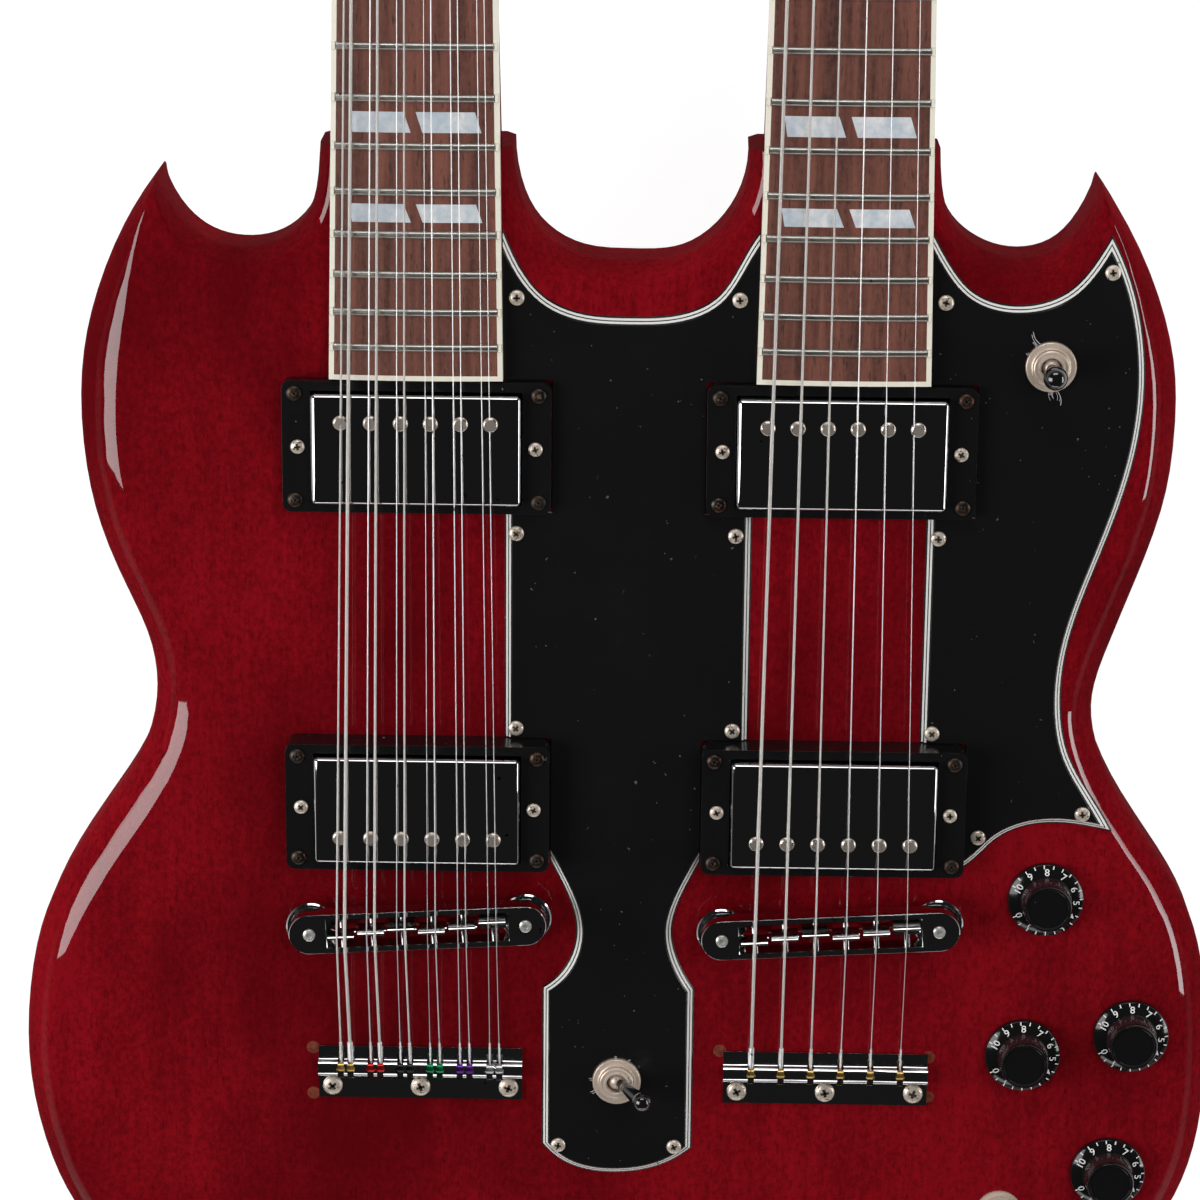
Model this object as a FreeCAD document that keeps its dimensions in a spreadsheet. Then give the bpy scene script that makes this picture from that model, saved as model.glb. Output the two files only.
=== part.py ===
"""Double-neck electric guitar, lying on its back.

+X points to the six-string side, +Y along the necks and +Z out of the face. The origin is on
the back, midway between the necks, under the line where the scale length ends. Millimetres.
"""

import FreeCAD
import Part
import math
import operator
import os
import Sketcher

Vector = FreeCAD.Vector
X_AXIS = Vector(1, 0, 0)
Y_AXIS = Vector(0, 1, 0)
Z_AXIS = Vector(0, 0, 1)

doc = FreeCAD.newDocument("DoubleNeckGuitar")
sheet = doc.addObject("Spreadsheet::Sheet", "Sizes")
OPERATIONS = {"+": operator.add, "-": operator.sub, "*": operator.mul, "/": operator.truediv}


# Sizes that know both their value and the sheet expression behind it


class Size:
    def __init__(self, value, text):
        self.value = value
        self.text = text

    def __add__(self, other):
        return combine(self, "+", other)

    def __sub__(self, other):
        return combine(self, "-", other)

    def __mul__(self, other):
        return combine(self, "*", other)

    def __rmul__(self, other):
        return combine(other, "*", self)

    def __truediv__(self, other):
        return combine(self, "/", other)

    def __neg__(self):
        return combine(-1, "*", self)

    def __float__(self):
        return float(self.value)


def as_size(thing):
    return thing if isinstance(thing, Size) else Size(float(thing), f"({float(thing)})")


def combine(left, sign, right):
    a, b = as_size(left), as_size(right)
    return Size(OPERATIONS[sign](a.value, b.value), f"({a.text} {sign} {b.text})")


def driving(alias, value):
    row = driving.rows = getattr(driving, "rows", 0) + 1
    sheet.set(f"A{row}", alias)
    sheet.set(f"B{row}", str(value))
    sheet.setAlias(f"B{row}", alias)
    return Size(value, f"Sizes.{alias}")


def sheet_sizes(values):
    """Put every named length in the sheet and give it back as a size."""
    return {
        name: driving(name, value) for name, value in values.items() if type(value) is float
    }


# Body
body_width = 414.0
body_length = 428.0
body_thick = 35.0
bevel_wide = 14.0
bevel_wall_deep = 11.5
bevel_rim_wide = 1.2
bevel_rim_deep = 8.4
bevel_slope_wide = 6.0
bevel_slope_deep = 3.4
bevel_crest_wide = 10.8
bevel_crest_deep = 0.7
back_bevel_wide = 8.0
back_bevel_deep = 6.0

# Necks and fingerboards
scale_length = 628.65
neck_ring_gap = 0.86
neck_angle = 2.2
board_end_width = 57.4
board_nut_width = 44.0
board_thick = 6.0
board_radius = 304.8
board_rise = 9.0
binding_wide = 1.7
tenon_width = 50.0
tenon_deep = 24.0
shaft_deep_heel = 22.0
shaft_deep_body = 17.0
shaft_deep_nut = 14.5
heel_length = 42.0
shaft_side = 1.5
fret_wide = 2.6
fret_high = 1.2
inlay_thick = 1.3
nut_long = 5.0
nut_over_string = 0.5
nut_action = 0.4
rod_radius = 2.4
rod_depth = 6.0
rod_end_gap = 20.0

# Headstocks and tuning machines
head_angle = 14.0
head_thick = 14.0
head_width = 76.0
head_length_6 = 168.0
head_length_12 = 256.0
headplate_thick = 1.5
truss_cover_width = 20.0
truss_cover_length = 30.0
truss_cover_thick = 2.0
post_inset = 11.0
first_post = 36.0
post_pitch_6 = 43.0
post_pitch_12 = 38.0
post_radius = 3.0
post_waist_radius = 2.2
post_rise = 13.0
bushing_radius = 4.9
flange_radius = 6.4
flange_thick = 1.2
housing_long = 25.0
housing_wide = 15.0
housing_deep = 11.5
key_shaft_radius = 2.0
key_reach = 9.0
button_radius = 7.5
button_thick = 7.0

# Strings
saddle_rise = 20.3
course_pitch_bridge = 10.36
course_pitch_nut = 6.7
pair_gap_bridge = 2.7
pair_gap_nut = 2.0
pair_gap_tail = 3.4
wrap_rise = 6.0
string_bend = 9.0
touch_gap = 0.05
nut_slot_ease = 0.2
ball_radius = 1.8
ball_wide = 2.9

# Bridges and tailpieces
bridge_back = 4.0
bridge_angle = 3.4
bridge_long = 88.0
bridge_wide = 14.0
bridge_tall = 7.5
bridge_floor = 2.5
bridge_wall = 1.5
bridge_lift = 8.0
post_spacing = 74.1
stud_radius = 3.0
stud_deep = 18.0
stud_head_radius = 4.2
stud_head_tall = 1.4
wheel_radius = 8.6
wheel_thick = 2.4
saddle_wide = 9.4
saddle_long = 5.0
saddle_crest = 1.6
saddle_screw_radius = 1.1
tail_distance = 60.3
tail_width = 71.0
tail_foot = 11.6
tail_lip = 7.6
tail_thick = 1.6
roll_radius = 3.8
roll_bore = 2.2
tail_screw_pitch = 30.7
tail_screw_back = 7.2
slot_wide = 1.7

# Pickups
bridge_pickup_y = 38.8
ring_long = 89.4
ring_wide = 44.8
ring_corner = 3.0
ring_low = 6.0
ring_high = 11.5
cover_long = 69.6
cover_wide = 37.6
cover_tall = 11.5
cover_wall = 0.6
cover_edge = 1.6
cover_clearance = 0.4
string_over_cover = 2.8
base_thick = 1.2
pole_radius = 2.5
pole_deep = 8.0
pole_dome = 0.4
pole_slot = 0.8
pole_pitch_neck = 9.9
pole_pitch_bridge = 10.4
pole_offset = 9.4
cavity_deep = 20.0

# Guards
guard_thick = 2.4
guard_bevel = 2.7
guard_clearance = 0.4
guard_screw_aside = 4.7
guard_screw_shift = 0.75
guard_screw_below = 7.5
guard_screw_above = 3.8

# Screws
screw_head_radius = 2.6
screw_head_tall = 1.1
screw_shank_radius = 1.4
screw_shank_long = 12.0
tail_screw_head_radius = 3.4
tail_screw_shank_radius = 1.9
height_head_radius = 2.4
height_shank_radius = 1.3

# Controls
knob_skirt_radius = 13.0
knob_skirt_tall = 2.4
knob_barrel_radius = 8.6
knob_top_radius = 7.8
knob_tall = 13.4
knob_lift = 0.6
knob_recess_radius = 7.4
knob_recess_deep = 4.0
knob_bore_deep = 10.0
shaft_radius = 3.0
shaft_clearance = 0.06
pot_radius = 12.0
pot_tall = 10.0
pot_neck_radius = 4.7
pot_neck_rise = 3.2
pot_nut_radius = 6.4
pot_nut_tall = 1.8
cavity_top_wood = 6.0
cavity_margin = 14.0
cover_lip = 5.0
rear_cover_thick = 2.4
switch_wide = 13.0
switch_long = 24.0
switch_deep = 20.0
switch_room = 2.5
collar_radius = 5.9
collar_bore = 3.4
collar_rise = 3.2
collar_deep = 5.0
washer_radius = 8.3
washer_thick = 1.2
lever_ball_radius = 2.6
lever_root_radius = 1.3
lever_pin_radius = 0.8
lever_pin_long = 5.9
pickup_lever_long = 17.0
pickup_tip_radius = 4.0
neck_lever_long = 20.5
neck_tip_radius = 3.2
neck_lever_angle = 26.0
jack_bore = 3.2
jack_sleeve_radius = 4.7
jack_deep = 24.0
jack_rise = 3.0
jack_nut_radius = 6.6
jack_nut_tall = 1.8
jack_washer_radius = 8.0
jack_washer_thick = 0.8
strap_base_radius = 7.0
strap_waist_radius = 3.6
strap_head_radius = 6.6
strap_tall = 11.0
strap_screw_radius = 2.0
strap_screw_long = 24.0
overrun = 2.0

# String diameters, bass side first, and the octave strings of the four bass courses
gauge_first = 1.17
gauge_second = 0.91
gauge_third = 0.66
gauge_fourth = 0.43
gauge_fifth = 0.33
gauge_sixth = 0.25
octave_first = 0.66
octave_second = 0.46
octave_third = 0.30
octave_fourth = 0.20

# Every named length above goes to the sheet and is used from there on as a size
globals().update(sheet_sizes(dict(globals())))

FRET_COUNT = 20
INLAID_FRETS = (3, 5, 7, 9, 12, 15, 17)
NECKS = {"12": -1, "6": 1}

# Outlines as shares of the body's width and length; a third value is a share of the bevel
BASS_CUTAWAY_SHARES = [
    (-0.248, 0.614, 0.4), (-0.250, 0.589, 0.4), (-0.257, 0.562, 0.4), (-0.280, 0.539, 0.4),
    (-0.311, 0.532, 0.4), (-0.341, 0.539, 0.4), (-0.366, 0.562, 0.25), (-0.378, 0.590, 0.1),
]
BOUT_SHARES = [
    (-0.378, 0.590, 0.1), (-0.402, 0.555, 0.4), (-0.426, 0.504, 0.8), (-0.441, 0.450, 1.0),
    (-0.444, 0.375, 1.0), (-0.434, 0.314, 1.0), (-0.412, 0.256, 1.0), (-0.394, 0.213, 1.0),
    (-0.389, 0.168, 1.0), (-0.400, 0.125, 1.0), (-0.428, 0.079, 1.0), (-0.462, 0.029, 1.0),
    (-0.488, -0.023, 1.0), (-0.503, -0.089, 1.0), (-0.506, -0.145, 1.0), (-0.493, -0.227, 1.0),
    (-0.459, -0.297, 1.0), (-0.386, -0.349, 1.0), (-0.266, -0.375, 1.0), (-0.121, -0.384, 1.0),
    (0.000, -0.386, 1.0), (0.121, -0.384, 1.0), (0.261, -0.374, 1.0), (0.379, -0.347, 1.0),
    (0.449, -0.297, 1.0), (0.482, -0.234, 1.0), (0.493, -0.154, 1.0), (0.490, -0.082, 1.0),
    (0.471, -0.005, 1.0), (0.428, 0.063, 0.95), (0.395, 0.119, 0.9), (0.383, 0.171, 0.85),
    (0.393, 0.213, 0.8), (0.417, 0.279, 0.8), (0.436, 0.346, 0.8), (0.440, 0.388, 0.8),
    (0.438, 0.441, 0.8), (0.424, 0.495, 0.65), (0.396, 0.554, 0.35), (0.372, 0.590, 0.1),
]
TREBLE_CUTAWAY_SHARES = [
    (0.372, 0.590, 0.1), (0.358, 0.558, 0.25), (0.338, 0.537, 0.4), (0.308, 0.530, 0.4),
    (0.275, 0.540, 0.4), (0.254, 0.560, 0.4), (0.246, 0.586, 0.4), (0.244, 0.614, 0.4),
]
SCOOP_SHARES = [
    (0.092, 0.614, 0.4), (0.089, 0.582, 0.4), (0.072, 0.551, 0.4), (0.041, 0.529, 0.4),
    (0.000, 0.525, 0.4), (-0.041, 0.529, 0.4), (-0.075, 0.551, 0.4), (-0.090, 0.582, 0.4),
    (-0.094, 0.614, 0.4),
]
# A guard's top edge: shares of the way between the boards or out to the horn's corner,
# and of the way down from the corner to the neck pickup's ring
GUARD_TOP_SHARES = [
    (-0.894, 0.204), (-0.668, 0.450), (-0.334, 0.562), (0.000, 0.577), (0.334, 0.562),
    (0.668, 0.442), (0.884, 0.161),
]
# The waist below the rings: shares of the ring's place across and of the body's length
GUARD_WAIST_SHARES = [(0.783, 0.011), (0.652, -0.020), (0.733, -0.044)]
GUARD_FOOT_SHARES = [
    (0.059, -0.070), (0.059, -0.210), (0.035, -0.225), (-0.004, -0.233), (-0.043, -0.227),
    (-0.068, -0.208), (-0.068, -0.070),
]
TREBLE_GUARD_TOP_SHARES = [
    (0.087, 0.178), (0.235, 0.383), (0.504, 0.468), (0.774, 0.365), (0.916, 0.171),
]
TREBLE_GUARD_OUTER_SHARES = [
    (0.380, 0.553), (0.398, 0.514), (0.409, 0.467), (0.411, 0.423), (0.402, 0.362),
    (0.377, 0.285), (0.359, 0.226), (0.355, 0.177), (0.364, 0.133), (0.382, 0.102),
    (0.402, 0.070),
]
# Its foot: shares of the way out from the ring, and of the body's length above the ring's foot
TREBLE_GUARD_FOOT_SHARES = [(0.723, 0.0386), (0.463, 0.0376), (0.211, 0.0236), (0.089, 0.0086)]
GUARD_TOP_Y_SHARE = 0.553

# Under this sine of their angle two stretches count as one smooth line
SMOOTH_JOIN_SHARE = 0.3

# Places on the face as shares of the body's width and length
KNOB_SHARES = [(0.349, 0.013), (0.335, -0.122), (0.425, -0.104), (0.411, -0.225)]
JACK_SHARES = (0.321, -0.263)
PICKUP_SWITCH_SHARES = (0.335, 0.451)
NECK_SWITCH_SHARES = (-0.005, -0.149)
NECK_SPACING_SHARE = 0.34058
GUARD_SCREW_SHARES = [
    (0.381, 0.525), (0.376, 0.086), (0.291, 0.065), (-0.054, -0.207), (0.044, -0.207),
]
GUARD_HORN_SCREW_Y_SHARE = 0.5
STRAP_HEEL_Y_SHARE = 0.47

# Saddle set-back along the bridge as a share of its travel, bass side first
SADDLE_SHARES = [-0.1, 0.33, 0.73, 0.23, 0.5, 0.95]

# The strings' diameters: the twelve-string neck in pairs, octave string first
GAUGES_12 = [
    octave_first, gauge_first, octave_second, gauge_second, octave_third, gauge_third,
    octave_fourth, gauge_fourth, gauge_fifth, gauge_fifth, gauge_sixth, gauge_sixth,
]
GAUGES_6 = [gauge_first, gauge_second, gauge_third, gauge_fourth, gauge_fifth, gauge_sixth]

# Places that follow from the sizes
tilt = math.radians(neck_angle.value)
neck_spacing = body_width * NECK_SPACING_SHARE
board_length = scale_length * (1 - 2 ** (-(FRET_COUNT + 1) / 12))
board_end_y = (scale_length - board_length) * math.cos(tilt)
neck_pickup_y = board_end_y - ring_wide / 2 - neck_ring_gap
board_floor_z = body_thick + board_rise - board_thick
shoulder_y = body_length * BASS_CUTAWAY_SHARES[0][1]
guard_top_y = body_length * GUARD_TOP_Y_SHARE
guard_z = body_thick + guard_thick
nut_string_v = board_thick + fret_high + nut_action
saddle_top_z = body_thick + saddle_rise


# Helpers for the parametric document


def bind(thing, **sizes):
    for name, value in sizes.items():
        thing.setExpression(name.replace("__", "."), as_size(value).text)
    return thing


def place(thing, x, y, z):
    return bind(thing, Placement__Base__x=x, Placement__Base__y=y, Placement__Base__z=z)


def add_box(name, x, y, z, length, width, height):
    box = doc.addObject("Part::Box", name)
    bind(box, Length=length, Width=width, Height=height)
    return place(box, x, y, z)


def add_cylinder(name, x, y, z, radius, height):
    cylinder = doc.addObject("Part::Cylinder", name)
    bind(cylinder, Radius=radius, Height=height)
    return place(cylinder, x, y, z)


def add_compound(name, things):
    compound = doc.addObject("Part::Compound", name)
    compound.Links = things
    return compound


def add_fusion(name, things):
    fusion = doc.addObject("Part::MultiFuse", name)
    fusion.Shapes = things
    return fusion


def add_cut(name, base, tool):
    cut = doc.addObject("Part::Cut", name)
    cut.Base = base
    cut.Tool = tool
    return cut


def add_feature(name, shape):
    feature = doc.addObject("Part::Feature", name)
    feature.Shape = shape
    return feature


def add_sketch(body, name, role, points):
    """A closed polygon sketch whose corners are bound to the sheet."""
    sketch = body.newObject("Sketcher::SketchObject", name)
    plane = [thing for thing in body.Origin.OriginFeatures if thing.Role == role][0]
    sketch.AttachmentSupport = (plane, [""])
    sketch.MapMode = "FlatFace"
    corners = [(as_size(u), as_size(v)) for u, v in points]
    places = [Vector(u.value, v.value, 0) for u, v in corners]
    for index, start in enumerate(places):
        sketch.addGeometry(Part.LineSegment(start, places[(index + 1) % len(places)]), False)
    for index in range(len(places)):
        following = (index + 1) % len(places)
        sketch.addConstraint(Sketcher.Constraint("Coincident", index, 2, following, 1))
    for index, (u, v) in enumerate(corners):
        for kind, tag, size in (("DistanceX", "u", u), ("DistanceY", "v", v)):
            number = sketch.addConstraint(
                Sketcher.Constraint(kind, -1, 1, index, 1, size.value)
            )
            sketch.renameConstraint(number, f"{tag}{index}")
            sketch.setExpression(f"Constraints.{tag}{index}", size.text)
    return sketch


def add_pad(body, name, sketch, length):
    pad = body.newObject("PartDesign::Pad", name)
    pad.Profile = sketch
    bind(pad, Length=length)
    return pad


def add_revolved_body(name, points):
    """A body turned about Z from a half profile of (radius, height) corners."""
    body = doc.addObject("PartDesign::Body", name)
    sketch = add_sketch(body, f"{name}_profile", "XZ_Plane", points)
    turn = body.newObject("PartDesign::Revolution", f"{name}_turn")
    turn.Profile = sketch
    turn.ReferenceAxis = (sketch, ["V_Axis"])
    turn.Angle = 360
    return body


def rectangle(x0, x1, y0, y1):
    return [(x0, y0), (x1, y0), (x1, y1), (x0, y1)]


# Helpers for shapes in plain numbers


def turned(profile, x=0.0, y=0.0, z=0.0):
    """A solid of revolution about Z from (radius, height) corners."""
    wire = Part.makePolygon([Vector(r, 0, h) for r, h in profile + profile[:1]])
    solid = Part.Face(wire).revolve(Vector(), Z_AXIS, 360)
    solid.translate(Vector(x, y, z))
    return solid


def placed(shape, placement):
    copy = shape.copy()
    copy.Placement = placement.multiply(copy.Placement)
    return copy


def neck_placement(side):
    base = Vector(side * neck_spacing.value / 2, board_end_y.value, board_floor_z.value)
    return FreeCAD.Placement(base, FreeCAD.Rotation(X_AXIS, -neck_angle.value))


def head_placement(side):
    start = Vector(0, board_length.value + nut_long.value, 0)
    step = FreeCAD.Placement(start, FreeCAD.Rotation(X_AXIS, -head_angle.value))
    return neck_placement(side).multiply(step)


def face_point(shares):
    return shares[0] * body_width, shares[1] * body_length


def left_of(direction):
    return Vector(-direction.y, direction.x, 0)


def corner_point(point, back, ahead, inset_before, inset_after):
    """Where two outline stretches meet once each has moved inwards by its own inset."""
    first, second = left_of(back), left_of(ahead)
    cross = first.x * second.y - first.y * second.x
    if abs(cross) < SMOOTH_JOIN_SHARE:
        return point + (first + second).normalize() * ((inset_before + inset_after) / 2)
    return point + Vector(
        (inset_before * second.y - inset_after * first.y) / cross,
        (first.x * inset_after - second.x * inset_before) / cross,
        0,
    )


def outline_wire(stretches, insets, z):
    """A closed wire of smooth stretches that meet at corners, moved inwards by the insets."""
    count = len(stretches)
    corners = []
    for number, points in enumerate(stretches):
        earlier = stretches[number - 1]
        back = (earlier[-1] - earlier[-2]).normalize()
        ahead = (points[1] - points[0]).normalize()
        corners.append(
            corner_point(points[0], back, ahead, insets[number - 1][-1], insets[number][0])
        )
    edges = []
    for number, points in enumerate(stretches):
        moved = [corners[number]]
        for index in range(1, len(points) - 1):
            back = (points[index] - points[index - 1]).normalize()
            ahead = (points[index + 1] - points[index]).normalize()
            moved.append(
                points[index] + left_of((back + ahead).normalize()) * insets[number][index]
            )
        moved.append(corners[(number + 1) % count])
        moved = [Vector(p.x, p.y, z) for p in moved]
        if len(moved) == 2:
            edges.append(Part.LineSegment(moved[0], moved[1]).toShape())
            continue
        chords = [0.0]
        for first, second in zip(moved, moved[1:]):
            chords.append(chords[-1] + first.distanceToPoint(second))
        curve = Part.BSplineCurve()
        curve.interpolate(Points=moved, Parameters=[c / chords[-1] for c in chords])
        edges.append(curve.toShape())
    return Part.Wire(edges)


def bevelled_plate(stretches, bevel_shares, layers):
    """A plate lofted through its outline at each (height, inset) layer."""
    wires = [
        outline_wire(
            stretches, [[share * inset for share in run] for run in bevel_shares], z
        )
        for z, inset in layers
    ]
    return Part.makeLoft(wires, True, True)


def to_points(shares):
    return [Vector(s[0] * body_width.value, s[1] * body_length.value, 0) for s in shares]


# Body: a bevelled blank, cut for the necks, pickups, controls and fittings


def body_blank():
    runs = [BASS_CUTAWAY_SHARES, BOUT_SHARES, TREBLE_CUTAWAY_SHARES]
    runs.append([TREBLE_CUTAWAY_SHARES[-1], SCOOP_SHARES[0]])
    runs.append(SCOOP_SHARES)
    runs.append([SCOOP_SHARES[-1], BASS_CUTAWAY_SHARES[0]])
    stretches = [to_points(run) for run in runs]
    flat_ends = {3: [0.0, 0.0], 5: [0.0, 0.0]}
    shares = [flat_ends.get(i, [point[2] for point in run]) for i, run in enumerate(runs)]
    top = body_thick.value
    layers = [
        (0.0, back_bevel_wide.value),
        (back_bevel_deep.value, 0.0),
        (top - bevel_wall_deep.value, 0.0),
        (top - bevel_rim_deep.value, bevel_rim_wide.value),
        (top - bevel_slope_deep.value, bevel_slope_wide.value),
        (top - bevel_crest_deep.value, bevel_crest_wide.value),
        (top, bevel_wide.value),
    ]
    return bevelled_plate(stretches, shares, layers)


def control_corners(margin):
    """The control cavity's corners, worked out from the knobs and the jack."""
    knobs = [face_point(shares) for shares in KNOB_SHARES]
    jack = face_point(JACK_SHARES)
    near = margin * 0.8
    return [
        (knobs[0][0] - margin, knobs[0][1] + margin),
        (knobs[1][0] - margin, knobs[1][1]),
        (jack[0] - near, jack[1] - near),
        (jack[0] + margin, jack[1] - near),
        (knobs[3][0] + near, knobs[3][1] - near),
        (knobs[2][0] + margin, knobs[2][1] + margin / 2),
        (knobs[0][0] + near, knobs[0][1] + margin),
    ]


def control_plate(name, margin, low, tall):
    body = doc.addObject("PartDesign::Body", name)
    sketch = add_sketch(body, f"{name}_outline", "XY_Plane", control_corners(margin))
    add_pad(body, f"{name}_pad", sketch, tall)
    return place(body, 0, 0, low)


def pickup_places():
    for side in NECKS.values():
        x = side * neck_spacing / 2
        yield x, neck_pickup_y, ring_low, pole_pitch_neck, 1
        yield x, bridge_pickup_y, ring_high, pole_pitch_bridge, -1


def ring_screw_places(along, across):
    for x, y, tall, _pitch, _turn in pickup_places():
        for step_x in (-1, 1):
            for step_y in (-1, 1):
                yield x + step_x * along, y + step_y * across, body_thick + tall


def height_screw_places():
    for x, y, tall, _pitch, _turn in pickup_places():
        for step_x in (-1, 1):
            yield x + step_x * (ring_long / 2 - screw_head_radius * 2), y, tall


def bridge_post_places():
    lean = math.radians(bridge_angle.value)
    for side in NECKS.values():
        for end in (-1, 1):
            x = side * neck_spacing / 2 + end * post_spacing / 2 * math.cos(lean)
            yield x, end * post_spacing / 2 * math.sin(lean) - bridge_back


def tail_screw_places():
    for side in NECKS.values():
        for step in (-1, 0, 1):
            x = side * neck_spacing / 2 + step * tail_screw_pitch
            yield x, -1 * (tail_distance + tail_screw_back)


def guard_screw_places():
    """Guard screws: beside the boards, between the rings, and at the guards' corners."""
    places = [face_point(shares) for shares in GUARD_SCREW_SHARES]
    side = neck_spacing / 2 - board_end_width / 2 - guard_clearance - guard_screw_aside
    shift = guard_screw_shift
    rows = [
        body_length * GUARD_HORN_SCREW_Y_SHARE,
        neck_pickup_y - ring_wide / 2 - guard_screw_below,
        bridge_pickup_y + ring_wide / 2 + guard_screw_above,
    ]
    for y in rows:
        places += [(-1 * side - shift, y), (side - shift, y), (neck_spacing - side - shift, y)]
    return places


def switch_places():
    x, y = face_point(PICKUP_SWITCH_SHARES)
    yield "pickup", x, y, switch_wide, switch_long
    x, y = face_point(NECK_SWITCH_SHARES)
    yield "neck", x, y, switch_long, switch_wide


ring_screw_along = ring_long / 2 - screw_head_radius * 1.6
ring_screw_across = ring_wide / 2 - screw_head_radius * 1.6


def screw_holes(name, places, radius, deep):
    return [
        add_cylinder(f"{name}_{number}", x, y, body_thick - deep, radius, deep + overrun)
        for number, (x, y) in enumerate(places)
    ]


def make_body():
    blank = add_feature("body_blank", body_blank())
    tools = [
        add_feature(f"pocket_{name}", tenon_shape(side)) for name, side in NECKS.items()
    ]
    for number, (x, y, _tall, _pitch, _turn) in enumerate(pickup_places()):
        long = cover_long + cover_clearance * 4
        wide = cover_wide + cover_clearance * 4
        low = body_thick - cavity_deep
        tools.append(
            add_box(
                f"pickup_cavity_{number}", x - long / 2, y - wide / 2, low, long, wide,
                cavity_deep + overrun,
            )
        )
        leg = ring_long - screw_head_radius * 2
        tools.append(
            add_box(
                f"leg_cavity_{number}", x - leg / 2, y - screw_head_radius * 2, low, leg,
                screw_head_radius * 4, cavity_deep + overrun,
            )
        )
    for name, x, y, wide, long in switch_places():
        tools.append(
            add_box(
                f"{name}_switch_cavity", x - wide / 2 - switch_room, y - long / 2 - switch_room,
                body_thick - switch_deep - switch_room, wide + switch_room * 2,
                long + switch_room * 2, switch_deep + switch_room + overrun,
            )
        )
    cavity_tall = body_thick - cavity_top_wood
    tools.append(control_plate("control_cavity", cavity_margin, 0, cavity_tall))
    tools.append(control_plate("cover_recess", cavity_margin + cover_lip, 0, rear_cover_thick))
    through = [face_point(shares) for shares in KNOB_SHARES]
    tools += screw_holes("pot_hole", through, pot_neck_radius, body_thick / 2)
    tools += screw_holes(
        "jack_hole", [face_point(JACK_SHARES)], jack_sleeve_radius, body_thick / 2
    )
    ring_holes = [(x, y) for x, y, _z in ring_screw_places(ring_screw_along, ring_screw_across)]
    tools += screw_holes("ring_hole", ring_holes, screw_shank_radius, screw_shank_long)
    guard_holes = guard_screw_places()
    tools += screw_holes("guard_hole", guard_holes, screw_shank_radius, screw_shank_long)
    tools += screw_holes(
        "tail_hole", tail_screw_places(), tail_screw_shank_radius, screw_shank_long
    )
    tools += screw_holes("post_hole", bridge_post_places(), stud_radius, stud_deep)
    for number, (x, y) in enumerate(rear_screw_places()):
        tools.append(
            add_cylinder(
                f"rear_hole_{number}", x, y, 0, screw_shank_radius, screw_shank_long
            )
        )
    tools.append(add_feature("strap_screw_holes", strap_screws(0.0)))
    return add_cut("body", blank, add_fusion("body_cuts", tools))


# Necks with their headstocks

HEEL_SIDE_SHARE = 0.6


def half_width(u, inset=0.0):
    share = u / board_length.value
    wide = board_end_width.value + (board_nut_width.value - board_end_width.value) * share
    return wide / 2 - inset


def tapered(u0, u1, v0, v1, inset=0.0):
    """A prism that follows the fingerboard's taper from u0 to u1."""
    corners = [
        Vector(-half_width(u0, inset), u0, v0),
        Vector(half_width(u0, inset), u0, v0),
        Vector(half_width(u1, inset), u1, v0),
        Vector(-half_width(u1, inset), u1, v0),
    ]
    return Part.Face(Part.makePolygon(corners + corners[:1])).extrude(Vector(0, 0, v1 - v0))


def shaft_section(u, deep, side):
    half = half_width(min(u, board_length.value))
    left = Vector(-half, u, 0)
    right = Vector(half, u, 0)
    low_left = Vector(-half, u, -side)
    low_right = Vector(half, u, -side)
    edges = [
        Part.LineSegment(left, low_left).toShape(),
        Part.Arc(low_left, Vector(0, u, -deep), low_right).toShape(),
        Part.LineSegment(low_right, right).toShape(),
        Part.LineSegment(right, left).toShape(),
    ]
    return Part.Wire(edges)


def head_outline(length):
    """The generic headstock outline in its own plane, from the nut to the top."""
    wide = head_width.value / 2
    nut = board_nut_width.value / 2
    flare = first_post.value * 0.7
    top = wide * 0.92
    points = [Vector(nut, 0, 0), Vector(nut + (wide - nut) * 0.28, flare * 0.62, 0)]
    points.append(Vector(wide, flare * 1.15, 0))
    shoulder = length - wide * 0.3
    edges = [Part.Arc(*points).toShape()]
    edges.append(Part.LineSegment(points[2], Vector(top, shoulder, 0)).toShape())
    crown = [Vector(top, shoulder, 0), Vector(0, length, 0), Vector(-top, shoulder, 0)]
    edges.append(Part.Arc(*crown).toShape())
    mirrored = [Vector(-p.x, p.y, 0) for p in points]
    edges.append(Part.LineSegment(crown[2], mirrored[2]).toShape())
    edges.append(Part.Arc(mirrored[2], mirrored[1], mirrored[0]).toShape())
    edges.append(Part.LineSegment(mirrored[0], points[0]).toShape())
    return Part.Face(Part.Wire(edges))


def head_size(name):
    return (head_length_12, post_pitch_12, 6) if name == "12" else (head_length_6, post_pitch_6, 3)


def post_places(name):
    """Post axes in the headstock's plane: the left row, then the right row."""
    _length, pitch, count = head_size(name)
    across = (head_width / 2 - post_inset).value
    for row in (-1, 1):
        for step in range(count):
            yield row, row * across, (first_post + step * pitch).value


def tenon_shape(side):
    """The block of the neck that is let into the body, up to the body's end."""
    run = (shoulder_y - board_end_y).value / math.cos(tilt) + overrun.value
    tenon = Part.makeBox(
        tenon_width.value, run, tenon_deep.value,
        Vector(-tenon_width.value / 2, 0, -tenon_deep.value),
    )
    return placed(tenon, neck_placement(side))


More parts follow.
